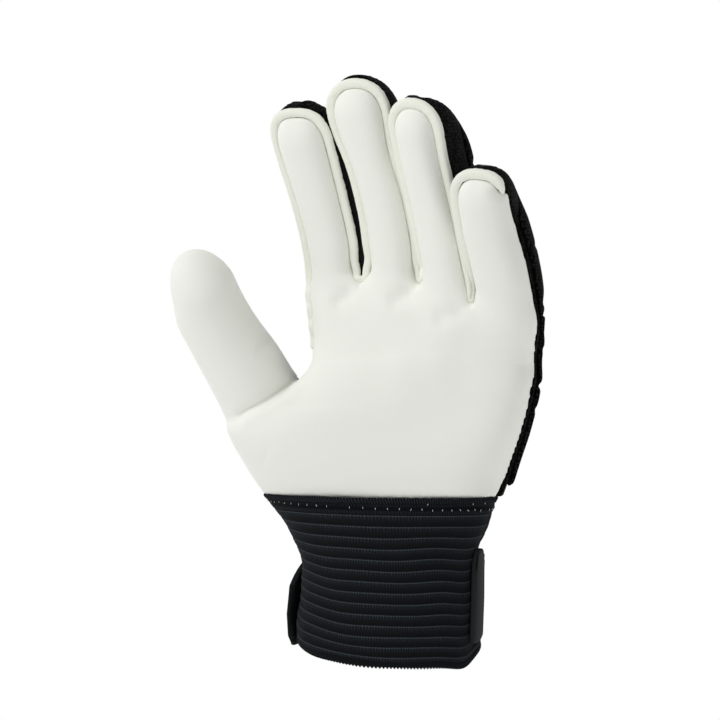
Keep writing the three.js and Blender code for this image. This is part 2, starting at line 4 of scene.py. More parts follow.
import bpy
import numpy as np
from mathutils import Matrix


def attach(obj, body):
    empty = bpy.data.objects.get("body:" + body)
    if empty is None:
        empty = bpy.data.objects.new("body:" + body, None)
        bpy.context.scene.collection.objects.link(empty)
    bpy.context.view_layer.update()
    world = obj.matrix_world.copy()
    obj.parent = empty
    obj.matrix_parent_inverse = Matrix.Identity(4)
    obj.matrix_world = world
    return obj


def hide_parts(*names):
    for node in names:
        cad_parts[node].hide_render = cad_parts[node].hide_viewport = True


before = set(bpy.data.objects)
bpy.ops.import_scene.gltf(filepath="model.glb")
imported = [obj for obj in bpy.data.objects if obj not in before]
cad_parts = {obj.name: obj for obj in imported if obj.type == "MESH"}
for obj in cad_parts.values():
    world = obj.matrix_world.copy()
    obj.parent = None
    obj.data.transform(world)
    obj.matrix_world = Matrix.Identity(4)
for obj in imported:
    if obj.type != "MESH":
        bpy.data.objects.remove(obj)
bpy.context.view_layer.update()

import openvdb as vdb
from mathutils import Vector

RNG = np.random.default_rng(7)
H = 0.99  # grid pitch of the soft shells, mm
FOAM, TEXTILE = 4.3, 2.6
FRONT_INSET, BACK_WIDER, ULNAR_WIDER = 1.6, 0.8, 1.2

# ------------------------------------------------------------------ tables, mm
# Fingers: rows are z, x, y, w of the seam line.
FINGERS = {
    "index": dict(roll=0, square=0.9, drop=0.9, rise=0.3, cap=2.7, lobes=((-6.5, 0.8), (0.6, 1.7)), tip=237.0, round=13, front=8.5, back=21, long=27, rows=[
        (146, -18.6, -11.4, 11.8), (161, -20.4, -10.6, 12.2), (164.2, -21.2, -10.6, 11.3), (180.8, -22.1, -14, 11.2),
        (198.3, -24.6, -18.5, 11.4), (215.6, -27.5, -24, 12.0), (224.2, -28.8, -27, 12.2), (232.7, -28.9, -30, 12.2)]),
    "middle": dict(roll=-3, drop=1.0, rise=1.9, cap=1.8, tip=249.4, round=13, front=8.5, back=22, long=29, rows=[
        (146, 6.0, -11.2, 13.4), (161, 5.6, -10.6, 13.2), (165, 6.1, -10.6, 11.8), (181.7, 6.6, -14, 11.2),
        (199, 5.1, -18.5, 11.1), (220.3, 0.8, -24.5, 11.1), (228.7, -0.9, -27, 12.2), (245.4, -2.3, -32, 12.7)]),
    "ring": dict(roll=-12, drop=-0.4, rise=1.5, cap=1.95, lobes=((-6.0, 1.5),), tip=240.0, round=12, front=8.3, back=25, long=32, rows=[
        (146, 30.5, -11.6, 12.8), (160.5, 31.2, -12.6, 12.6), (167, 31.3, -14, 11.4), (182.7, 30.4, -18.5, 11.0),
        (199.8, 28.5, -23.5, 10.8), (220.8, 26.1, -31, 10.7), (237.4, 25.2, -37, 11.0)]),
    "little": dict(roll=-5, drop=-0.7, rise=2.0, cap=2.0, bare=(206.0, 5.0), tip=211.6, round=11, front=8.0, back=21, long=28, rows=[
        (138, 52.2, -2, 11.4), (148.9, 54.5, -7, 12.3), (153.6, 55.0, -9.6, 12.3), (158.1, 55.5, -12, 11.9),
        (171.1, 55.1, -18.5, 11.6), (188.3, 53.5, -27.5, 11.0), (205.2, 53.4, -36, 10.9)]),
}
NAMES = list(FINGERS)
# Palm: xl, yl, zl, xr, yr, zr, front, back, nf, nb, lean, dip
PALM = np.array([
    (-59.2, 2, 63.55, 49.8, 2, 69.2, 27, 25, 2.3, 2.4, 0.0, 0.142),
    (-63.6, -1, 71.5, 51.8, 4, 76.4, 27.5, 24, 2.35, 2.5, 0.1, 0.11),
    (-67.9, -4, 81.5, 54.9, 4, 86.3, 28, 23, 2.4, 2.7, 0.2, 0.05),
    (-70.4, -8, 90, 58, 4, 95.3, 27, 22, 2.5, 2.8, 0.25, 0),
    (-70.2, -12, 98, 60.6, 4, 104.3, 25, 21.5, 2.7, 2.8, 0.3, 0),
    (-62, -15, 104.3, 62.7, 4, 113.1, 22, 21.5, 2.9, 2.8, 0.25, 0),
    (-52, -16, 109, 64.3, 3, 121, 19, 21.5, 3.0, 2.8, 0.15, 0),
    (-39.8, -16, 115, 64.4, 2, 129, 16.5, 21.5, 3.0, 2.8, 0.1, 0),
    (-30.4, -15, 125.2, 65.0, 0.5, 136, 14.2, 21.5, 2.9, 2.8, 0.05, 0),
    (-29.5, -13.4, 132.4, 65.5, -2, 140.6, 12.2, 21, 2.8, 2.8, 0, 0),
    (-29.9, -12.2, 141, 66.3, -5, 145.4, 10.6, 20.5, 2.8, 2.8, 0, 0),
    (-30.8, -11.4, 149.5, 67.5, -8, 150, 9.5, 19.5, 2.7, 2.8, 0, 0),
    (-31.6, -10.9, 156, 67.2, -10, 153, 8.2, 17, 2.5, 2.6, 0, 0),
    (-32, -10.8, 160.5, 66, -11.4, 155, 6.2, 13, 2.4, 2.5, 0, 0),
], float)
# Thumb: s, o, w, d along its axis
THUMB_BASE, THUMB_END, THUMB_ROUND = np.array((-53.1, -4, 93.7)), np.array((-71.4, -48, 176.6)), 18.0
THUMB = np.array([(-14, 1.2, 14, 12), (2, 1.1, 18.7, 16.5), (14, 1.1, 18.6, 17.5), (26, 0.3, 17.7, 17.2), (39, -0.9, 17.2, 16.6),
                  (53, -2.9, 16.0, 15.8), (67.5, -3.9, 15.4, 15.0), (79, -2.5, 13.8, 14.5), (95, -3.0, 13.8, 14.6)], float)
# Cuff: z, cx, a, b
CUFF = np.array([(-2.5, -1.0, 39.6, 26.4), (1, -1.4, 40.6, 27.2), (10, -1.4, 40.9, 27.2), (20, -0.4, 40.2, 27.0), (29, 0.0, 39.9, 27.0),
                 (38, -0.1, 40.0, 27.0), (42.5, -0.6, 41.0, 27.0), (47, -1.2, 42.8, 27.0), (51.5, -1.3, 45.2, 27.0), (56, -1.8, 47.6, 27.0),
                 (60.5, -3.0, 50.2, 27.0), (67.6, -4.6, 53.9, 27.0)], float)
SEAM_Z, SEAM_X, SEAM_Y = 67.1, 0.062, -0.142
HEM_DIP = 0.11
HEM_CORNER = 3.9  # the hem hangs lower at the little-finger side of the palm
RIB_PITCH = 4.37
PAD_HEIGHT = 2.6
PAD_GROOVES = ((134.7, 0.45), (118.5, 1.5), (107.9, 0.7))
STRAP = np.array([(9.2, 25.6, 20, .8), (40, 24.5, 20, .8), (90, 21, 20, .8), (140, 16, 19.5, .9), (170, 14.5, 19.2, 1.0),
                  (186, 14.6, 18.9, 1.9), (194, 14.2, 18.4, 2.9)], float)
ANCHOR = np.array([(-8, 26.2, 21.0, .7), (-2, 26.6, 21.6, .7), (8, 26.8, 21.6, .7)], float)

# Folds pressed into the foam front, in x and z over the palm face: width and depth (minus: a swelling).
FOLDS = [
    dict(name="thumb_crest", points=[(-29, 119.5), (-33.9, 115.8), (-38.6, 112.0), (-43.0, 109.2), (-47.6, 106.8), (-52.0, 104.4), (-56.2, 101.8), (-60.5, 98.5)], width=3.4, depth=-1.5, fade=0.22),
    dict(name="thumb_crease", points=[(-35.2, 122.6), (-39.2, 118.6), (-41.8, 115.6), (-45.1, 112.6), (-48.1, 110.4), (-51.3, 108.7), (-55.2, 106.7), (-58.3, 104.6), (-62.1, 101.4)], width=1.5, depth=1.7, fade=0.18),
    dict(name="crotch_fold_index", points=[(-9.9, 161.2), (-12.2, 157.8), (-15.6, 154.6), (-20.0, 151.8)], width=3.8, depth=1.45, fade=0.3),
    dict(name="crotch_fold_middle", points=[(18.2, 162.2), (15.2, 159.4), (11.0, 156.6), (5.5, 154.4)], width=3.9, depth=1.3, fade=0.3),
    dict(name="crotch_fold_ring", points=[(42.4, 155.2), (38.3, 152.6), (33.0, 150.6), (26.5, 149.4)], width=4.0, depth=1.3, fade=0.3),
    dict(name="palm_swell", points=[(2, 131), (16, 130.5), (30, 130), (42, 130.5)], width=12.0, depth=-1.3, fade=0.35),
    dict(name="palm_dip", points=[(14, 117), (28, 117.5), (44, 118.5), (52, 119)], width=7.0, depth=0.55, fade=0.35),
    dict(name="wrinkle_a", points=[(-39.7, 105.1), (-38.0, 103.1), (-36.8, 100.7)], width=0.8, depth=0.30, fade=0.3),
    dict(name="wrinkle_b", points=[(-40.6, 99.6), (-41.6, 97.6), (-43.0, 95.7)], width=0.8, depth=0.30, fade=0.3),
    dict(name="wrinkle_c", points=[(-42.0, 93.5), (-44.0, 89.5), (-46.5, 85.5), (-50.0, 81.3)], width=0.9, depth=0.30, fade=0.3),
]


# ------------------------------------------------------------------ small maths
def smooth_rows(rows, step=0.5):
    """A table's columns as smooth curves over its first column: (stations, values)."""
    rows = np.asarray(rows, float)
    k, v = rows[:, 0], rows[:, 1:]
    m = np.gradient(v, k, axis=0)
    t = np.arange(k[0], k[-1] + step * 0.5, step)
    i = np.clip(np.searchsorted(k, t, side="right") - 1, 0, len(k) - 2)
    h = (k[i + 1] - k[i])[:, None]
    s = ((t - k[i]) / (k[i + 1] - k[i]))[:, None]
    out = ((2 * s**3 - 3 * s**2 + 1) * v[i] + (s**3 - 2 * s**2 + s) * h * m[i]
           + (-2 * s**3 + 3 * s**2) * v[i + 1] + (s**3 - s**2) * h * m[i + 1])
    return t, out


def step01(x, a, b):
    t = np.clip((x - a) / (b - a), 0, 1)
    return t * t * (3 - 2 * t)


def smin(a, b, k):
    h = np.maximum(k - np.abs(a - b), 0) / k
    return np.minimum(a, b) - h * h * k * 0.25


def smax(a, b, k):
    return -smin(-a, -b, k)


def unit(v):
    return v / np.maximum(np.linalg.norm(v, axis=-1, keepdims=True), 1e-9)


def value_noise(p, scale, seed=0):
    """Smooth noise at points p (n,3), wavelength about scale."""
    r = np.random.default_rng(seed)
    q = p / scale
    i = np.floor(q).astype(int)
    f = q - i
    f = f * f * (3 - 2 * f)
    table = r.random(4096) * 2 - 1
    out = np.zeros(len(p))
    for c in range(8):
        d = np.array([(c >> 0) & 1, (c >> 1) & 1, (c >> 2) & 1])
        j = i + d
        h = (j[:, 0] * 73856093 ^ j[:, 1] * 19349663 ^ j[:, 2] * 83492791) & 4095
        w = np.prod(np.where(d, f, 1 - f), axis=1)
        out += w * table[h]
    return out


# ------------------------------------------------------------------ the grid
LO = np.array((-96.0, -64.0, 56.0))
HI = np.array((76.0, 38.0, 258.0))
SHAPE = tuple(int(v) for v in np.ceil((HI - LO) / H).astype(int) + 1)
AX = [LO[i] + H * np.arange(SHAPE[i]) for i in range(3)]
FAR = 14.0


def block(lo, hi):
    """Slices and coordinates of the grid inside a box."""
    s = []
    for i in range(3):
        a = max(0, int((lo[i] - LO[i]) / H))
        b = min(SHAPE[i], int((hi[i] - LO[i]) / H) + 2)
        s.append(slice(a, b))
    X, Y, Z = np.meshgrid(AX[0][s[0]], AX[1][s[1]], AX[2][s[2]], indexing="ij", sparse=True)
    return tuple(s), X, Y, Z


def distance(A):
    """A field near 1 at the surface, as a distance in mm."""
    g = np.gradient(A, H)
    n = np.sqrt(g[0] ** 2 + g[1] ** 2 + g[2] ** 2)
    return np.clip((A - 1) / np.maximum(n, 0.015), -FAR, FAR)


def finger_rows(f):
    rows = [list(r) for r in f["rows"]]
    a, b = rows[-3], rows[-1]
    z = f["tip"] + 4
    t = (z - b[0]) / (b[0] - a[0])
    rows.append([z, b[1] + (b[1] - a[1]) * t * 0.4, b[2] + (b[2] - a[2]) * t, b[3]])
    return np.array(rows)


def finger_frame(f):
    t, v = smooth_rows(finger_rows(f))
    sx, sy = np.gradient(v[:, 0], t), np.gradient(v[:, 1], t)
    return t, v[:, 0], v[:, 1], v[:, 2], sx, sy


def finger_field(f, inset=FRONT_INSET, wider=BACK_WIDER):
    t, cx, cy, cw, sx, sy = finger_frame(f)
    lo = (cx.min() - 22, cy.min() - 16, t[0] - 6)
    hi = (cx.max() + 22, cy.max() + f["back"] + 8, f["tip"] + 8)
    s, X, Y, Z = block(lo, hi)
    z = Z + 0 * X + 0 * Y
    for _ in range(3):
        dx, dy = np.interp(z, t, sx), np.interp(z, t, sy)
        dot = (X - np.interp(z, t, cx)) * dx + (Y - np.interp(z, t, cy)) * dy + (Z - z)
        z = z + dot / (1 + dx * dx + dy * dy)
    dx, dy = np.interp(z, t, sx), np.interp(z, t, sy)
    n = np.sqrt(1 + dx * dx + dy * dy)
    T = np.stack([dx / n, dy / n, 1 / n], -1)
    r = math.radians(f["roll"])
    e1 = np.array((math.cos(r), math.sin(r), 0.0)) - (T[..., 0:1] * math.cos(r) + T[..., 1:2] * math.sin(r)) * T
    e1 = unit(e1)
    e2 = np.cross(T, e1)
    px, py, pz = X - np.interp(z, t, cx), Y - np.interp(z, t, cy), Z - z
    u = px * e1[..., 0] + py * e1[..., 1] + pz * e1[..., 2]
    v = px * e2[..., 0] + py * e2[..., 1] + pz * e2[..., 2]
    side = step01(v, -0.8, 0.8)
    base = np.clip((z - f["rows"][0][0]) / 18, 0, 1)
    # on the outer side of the little finger the foam runs past the edge, with no rim
    bare = 0.0
    if "bare" in f:
        bare = step01(u, 1.0, 8.0) * step01(f["bare"][0] - z, 0, 4)
    w = np.interp(z, t, cw) + (wider * side - inset * (1 - side) * (1 - bare))
    d = np.where(v > 0, f["back"] * (0.85 + 0.15 * base), f["front"] * (0.86 + 0.14 * base))
    a, b = np.abs(u) / w, np.abs(v) / d
    m = 2.3 + 0.4 * step01(v, -3, 3)
    share = b**2 / (a**2 + b**2 + 1e-4)
    length = f["round"] * (1 - share) + np.where(v > 0, f["long"], 11.0) * share
    tip = f["tip"] - (inset + f["drop"]) * (1 - side) + f["rise"] * side
    cap = np.maximum(0, (z - (tip - length)) / length)
    low = np.maximum(0, (f["rows"][0][0] + 6 - z) / 12)
    mc = 2.3 + (f["cap"] - 2.3) * step01(v, -3, 3)
    if "bare" in f:
        mc = mc + 0.9 * step01(u, 1, 8) * (1 - side)
    mc = mc + f.get("square", 0) * step01(-u, 1, 6)
    A = ((a**m + b**m + low**m) ** (mc / m) + cap**mc) ** (1 / mc)
    wrap = v
    if "bare" in f:
        wrap = v - f["bare"][1] * bare * (1 - 0.55 * step01(-z, -153, -144)) * (1 - 0.4 * step01(z, 186, 200))
    D = distance(A)
    for at, much in f.get("lobes", ()):
        D = D - much * np.exp(-(((u - at) / 3.0) ** 2)) * step01(v, 1, 5) * step01(z, f["tip"] - 9, f["tip"] - 2)
    return s, D, wrap, u, z, w


def palm_lookup():
    """Smooth palm rows over a running index, with one more row at each end."""
    P = np.vstack([2 * PALM[0] - PALM[1], PALM, 2 * PALM[-1] - PALM[-2]])
    P[0, 6:11] = PALM[0, 6:11]
    P[0, 11] = PALM[0, 11]
    P[-1, 6:12] = PALM[-1, 6:12]
    P[-1, [2, 5]] = PALM[-1, [2, 5]] + 9
    k = np.arange(len(P)) - 1.0
    t, v = smooth_rows(np.column_stack([k, P]), 0.02)
    return t, v


def palm_field():
    t, v = palm_lookup()
    s, X, Y, Z = block((-92, -44, 56), (76, 36, 176))
    shape = np.broadcast_shapes(X.shape, Y.shape, Z.shape)
    # slanted rows near the wrist: height measured on the seam side
    dip = np.interp(Z, v[:, 2] * 0.5 + v[:, 5] * 0.5, v[:, 11])
    Ze = Z + dip * (Y - 2)
    k = np.empty(shape, float)
    xs = X[:, 0, 0]
    for i, x in enumerate(xs):
        q = (x - v[:, 0]) / (v[:, 3] - v[:, 0])
        zk = v[:, 2] + (v[:, 5] - v[:, 2]) * q
        zk = np.maximum.accumulate(zk)
        k[i] = np.interp(Ze[0], zk, t)
    c = [np.interp(k, t, v[:, j]).astype(np.float32) for j in range(12)]
    xl, yl, zl, xr, yr, zr, front, back, nf, nb, lean, _ = c
    q = (X - xl) / (xr - xl)
    half = np.sqrt((xr - xl) ** 2 + (zr - zl) ** 2 + (yr - yl) ** 2) / 2
    along = 2 * q - 1
    v0 = Y - (yl + (yr - yl) * q)
    side = step01(v0, -0.8, 0.8)
    w = half + ULNAR_WIDER / 2 * side
    u = (along * half - ULNAR_WIDER / 2 * side) / w
    uc = np.clip(u, -1, 1)
    leaned = 1 - lean * uc * (1 - uc * uc) * 1.5
    d = np.where(v0 > 0, back, front * leaned)
    m = np.where(v0 > 0, nb, nf)
    blend = step01(v0, -3, 3)
    m = nf * (1 - blend) + nb * blend
    A = (np.abs(u) ** m + (np.abs(v0) / d) ** m) ** (1 / m)
    F = distance(A)
    top = np.interp(X, [-40, -32, -9, 19, 43, 68], [162, 162, 162.5, 162.5, 156.5, 152.5])
    F = smax(F, Z - top, 12.0)
    wrap = np.interp(Z, [66, 71, 78, 93, 100, 110, 117, 124, 128, 132, 136, 140, 148, 156],
                     [-2.2, -1.4, 0.6, 0.8, 0.8, 0.9, 0.7, 1.6, 2.1, 1.6, 0.9, 0.7, 2.4, 5.0]) * step01(u, 0.55, 0.9)
    return s, F, v0 - wrap, u, Z


def thumb_frame():
    a = THUMB_END - THUMB_BASE
    length = np.linalg.norm(a)
    a = a / length
    e2 = np.array((0, 1.0, 0)) - a[1] * a
    e2 /= np.linalg.norm(e2)
    return a, np.cross(e2, a), e2, length


def thumb_field():
    a, e1, e2, length = thumb_frame()
    s, X, Y, Z = block((-96, -64, 70), (-24, 24, 192))
    px, py, pz = X - THUMB_BASE[0], Y - THUMB_BASE[1], Z - THUMB_BASE[2]
    st = px * a[0] + py * a[1] + pz * a[2]
    t, v = smooth_rows(THUMB)
    o, w, d = (np.interp(st, t, v[:, j]) for j in range(3))
    u = px * e1[0] + py * e1[1] + pz * e1[2] - o
    vv = px * e2[0] + py * e2[1] + pz * e2[2]
    cap = np.maximum(0, (st - (length - THUMB_ROUND)) / THUMB_ROUND)
    low = np.maximum(0, (-2 - st) / 14)
    m = 2.15
    A = ((np.abs(u) / w) ** m + (np.abs(vv) / d) ** m + cap**1.65 + low**m) ** (1 / m)
    return s, distance(A), vv - 0.62 * d, u, st


# ------------------------------------------------------------------ body field
def merge(F, S, W, s, Fn, Sn, k, share=1.0):
    """Smooth union of a new form into the grid; the seam field follows the nearer form."""
    old = F[s]
    F[s] = smin(old, Fn, k)
    wn = (np.exp(-np.clip(Fn, -8, 12) / 1.5) * share).astype(np.float32)
    S[s] += Sn * wn
    W[s] += wn


F = np.full(SHAPE, FAR, np.float32)
S = np.zeros(SHAPE, np.float32)
W = np.full(SHAPE, 1e-6, np.float32)
PADF = {}
for name in NAMES:
    s, Fn, Sn, un, zn, wn = finger_field(FINGERS[name])
    share = step01(zn, 133, 147) if name == "little" else 1.0
    merge(F, S, W, s, Fn.astype(np.float32), Sn.astype(np.float32), 0.6, share)
    PADF[name] = (s, un, zn, wn, Sn)
s, Fp, Sp, Up, Zp = palm_field()
merge(F, S, W, s, Fp.astype(np.float32), Sp.astype(np.float32), 7.0)
PALMF = (s, Up, Fp, Sp)
s, Ft, St, Ut, Tt = thumb_field()
_, X, Y, Z = block((-96, -64, 70), (-24, 24, 192))
kt = 1.6 + 7.5 * step01(Y + 0 * X + 0 * Z, -25, -12) * step01(Ut, -2, 6)
merge(F, S, W, s, Ft.astype(np.float32), St.astype(np.float32), kt.astype(np.float32))
S /= W
THUMBF = (s, Ft, St)


def blurred(a, sigma):
    r = int(3 * sigma / H)
    k = np.exp(-0.5 * (np.arange(-r, r + 1) * H / sigma) ** 2)
    k /= k.sum()
    for ax in range(3):
        b = np.pad(a, [(r, r) if i == ax else (0, 0) for i in range(3)], mode="edge")
        out = np.zeros_like(a)
        for i, w in enumerate(k):
            cut = [slice(None)] * 3
            cut[ax] = slice(i, i + a.shape[ax])
            out += w * b[tuple(cut)]
        a = out
    return a


s, X, Y, Z = block((-48, -46, 118), (76, 8, 184))
soft = blurred(F[s].copy(), 4.2)
mask = step01(-S[s], 3.0, 7.0) * step01(Z, 128, 142) * step01(-Z, -168, -157)
F[s] = F[s] * (1 - mask) + soft * mask

X, Y, Z = np.meshgrid(*AX, indexing="ij", sparse=True)
PLANE = (SEAM_Z + SEAM_X * X + SEAM_Y * Y) - Z  # above zero: below the palm's lower edge

for fold in FOLDS:
    pts = np.array(fold["points"], float)
    lo = pts.min(0) - 3.5 * fold["width"]
    hi = pts.max(0) + 3.5 * fold["width"]
    s, x, y, z = block((lo[0], -60, lo[1]), (hi[0], fold.get("behind", 5), hi[1]))
    x2, z2 = x[:, 0, :], z[0, 0, :][None, :] if z.ndim == 3 else z
    x2 = np.broadcast_to(x[:, 0, :], (x.shape[0], z.shape[2]))
    z2 = np.broadcast_to(z[0, 0, :][None, :], (x.shape[0], z.shape[2]))
    best = np.full(x2.shape, 1e9)
    along = np.zeros(x2.shape)
    total = np.linalg.norm(np.diff(pts, axis=0), axis=1)
    run = np.concatenate([[0], np.cumsum(total)])
    for i in range(len(pts) - 1):
        p, q = pts[i], pts[i + 1]
        d = q - p
        tt = np.clip(((x2 - p[0]) * d[0] + (z2 - p[1]) * d[1]) / (d @ d), 0, 1)
        r = np.hypot(x2 - p[0] - tt * d[0], z2 - p[1] - tt * d[1])
        near = r < best
        best = np.where(near, r, best)
        along = np.where(near, (run[i] + tt * total[i]) / run[-1], along)
    shape = fold.get("fade", 0.25)
    fade = step01(along, 0, shape) * step01(-along, -1, -1 + shape) if shape else 1
    push = (fold["depth"] * np.exp(-((best / fold["width"]) ** 2)) * fade)[:, None, :]
    front = step01(-S[s], -2, 2)
    F[s] += (push * front).astype(np.float32)


# ------------------------------------------------------------------ meshing
def surface(field, s=None):
    """Quads of the zero surface of a field on the grid (or on a block of it), in mm."""
    field = np.clip(field, -3 * H, 3 * H).astype(np.float32)
    pad = np.pad(field, 2, constant_values=3 * H)
    g = vdb.FloatGrid(3 * H)
    g.copyFromArray(np.ascontiguousarray(pad))
    pts, quads = g.convertToQuads(isovalue=0.0)
    origin = LO - 2 * H
    if s is not None:
        origin = origin + H * np.array([q.start for q in s])
    pts = pts * H + origin
    quads = quads.astype(np.int64)
    a, b, c, d = (pts[quads[:, i]] for i in range(4))
    vol = np.einsum("ij,ij->i", a, np.cross(b, c)).sum() + np.einsum("ij,ij->i", a, np.cross(c, d)).sum()
    if vol < 0:
        quads = quads[:, ::-1]
    return pts, quads


def relax(pts, quads, rounds=2):
    """Evens out the small steps that the grid leaves."""
    n = len(pts)
    e = np.concatenate([quads[:, [0, 1]], quads[:, [1, 2]], quads[:, [2, 3]], quads[:, [3, 0]]])
    for k in range(rounds):
        for lam in (0.5, -0.52):
            acc = np.zeros((n, 3))
            cnt = np.zeros(n)
            for i in range(3):
                acc[:, i] = np.bincount(e[:, 0], pts[e[:, 1], i], n) + np.bincount(e[:, 1], pts[e[:, 0], i], n)
            cnt = np.bincount(e[:, 0], minlength=n) + np.bincount(e[:, 1], minlength=n)
            pts = pts + lam * (acc / np.maximum(cnt, 1)[:, None] - pts)
    return pts


def make(name, pts, quads, mat, uv=None, smooth=True):
    me = bpy.data.meshes.new(name)
    pts = np.asarray(pts, float) / 1000
    quads = np.asarray(quads, np.int32)
    m, w = quads.shape
    me.vertices.add(len(pts))
    me.vertices.foreach_set("co", pts.astype(np.float32).ravel())
    me.loops.add(m * w)
    me.loops.foreach_set("vertex_index", quads.ravel())
    me.polygons.add(m)
    me.polygons.foreach_set("loop_start", np.arange(0, m * w, w, dtype=np.int32))
    me.polygons.foreach_set("loop_total", np.full(m, w, np.int32))
    me.update(calc_edges=True)
    me.validate()
    me.polygons.foreach_set("use_smooth", np.full(len(me.polygons), smooth, bool))
    if uv is not None:
        layer = me.uv_layers.new(name="run")
        layer.data.foreach_set("uv", np.asarray(uv, np.float32)[quads.ravel()].ravel())
    me.materials.append(mat)
    ob = bpy.data.objects.new(name, me)
    bpy.context.scene.collection.objects.link(ob)
    return ob


def grid_quads(rows, cols, wrap=False):
    i, j = np.meshgrid(np.arange(rows - 1), np.arange(cols if wrap else cols - 1), indexing="ij")
    k = (j + 1) % cols
    return np.stack([i * cols + j, i * cols + k, (i + 1) * cols + k, (i + 1) * cols + j], -1).reshape(-1, 4)


def resample(p, step):
    p = np.asarray(p, float)
    run = np.concatenate([[0], np.cumsum(np.linalg.norm(np.diff(p, axis=0), axis=1))])
    n = max(4, int(round(run[-1] / step)) + 1)
    t = np.linspace(0, run[-1], n)
    return np.stack([np.interp(t, run, p[:, i]) for i in range(p.shape[1])], 1)


def smooth_line(p, rounds=6, closed=False):
    p = np.asarray(p, float).copy()
    for _ in range(rounds):
        q = p.copy()
        q[1:-1] = 0.25 * p[:-2] + 0.5 * p[1:-1] + 0.25 * p[2:]
        p = q
    return p


def spline(p, step):
    """A smooth line through a few points."""
    p = np.asarray(p, float)
    run = np.concatenate([[0], np.cumsum(np.linalg.norm(np.diff(p, axis=0), axis=1))])
    t, v = smooth_rows(np.column_stack([run, p]), min(0.2, step / 2))
    return resample(v, step)


def sweep(line, up, profile, taper=3):
    """Tube along line. profile(i, t) gives (across, up) offsets for angle t; the ends round off."""
    line, up = np.asarray(line, float), np.asarray(up, float)
    tan = unit(np.gradient(line, axis=0))
    up = unit(up - (up * tan).sum(1, keepdims=True) * tan)
    side = np.cross(up, tan)
    n = len(line)
    rings = []
    ang = np.linspace(0, 2 * np.pi, 22, endpoint=False)
    for i in range(n):
        e = min(i, n - 1 - i)
        k = math.sqrt(max(0.0, 1 - (1 - min(1, e / taper)) ** 2)) if taper else 1
        a, b = profile(i, ang)
        k = max(k, 0.05)
        rings.append(line[i] + np.outer(a * k, side[i]) + np.outer(b * k, up[i]))
    pts = np.concatenate(rings)
    cols = len(ang)
    q = grid_quads(n, cols, True)
    a, b = len(pts), len(pts) + 1
    pts = np.vstack([pts, rings[0].mean(0), rings[-1].mean(0)])
    caps = []
    for j in range(0, cols, 2):
        j1, j2 = (j + 1) % cols, (j + 2) % cols
        caps.append((a, j2, j1, j))
        caps.append((b, (n - 1) * cols + j, (n - 1) * cols + j1, (n - 1) * cols + j2))
    q = np.vstack([q, np.array(caps)])
    run = np.concatenate([[0], np.cumsum(np.linalg.norm(np.diff(line, axis=0), axis=1))])
    uv = np.vstack([np.column_stack([np.repeat(run, cols), np.tile(ang / (2 * np.pi), n)]), [[0, 0], [run[-1], 0]]])
    # faces out
    c = pts[q].mean(1)
    nr = np.cross(pts[q[:, 1]] - pts[q[:, 0]], pts[q[:, 2]] - pts[q[:, 0]])
    centre = np.repeat(line, cols, 0)[: len(c)] if len(c) <= n * cols else None
    out = (nr[: (n - 1) * cols] * (c[: (n - 1) * cols] - np.repeat(line[:-1], cols, 0))).sum()
    if out < 0:
        q = q[:, ::-1]
    return pts, q, uv


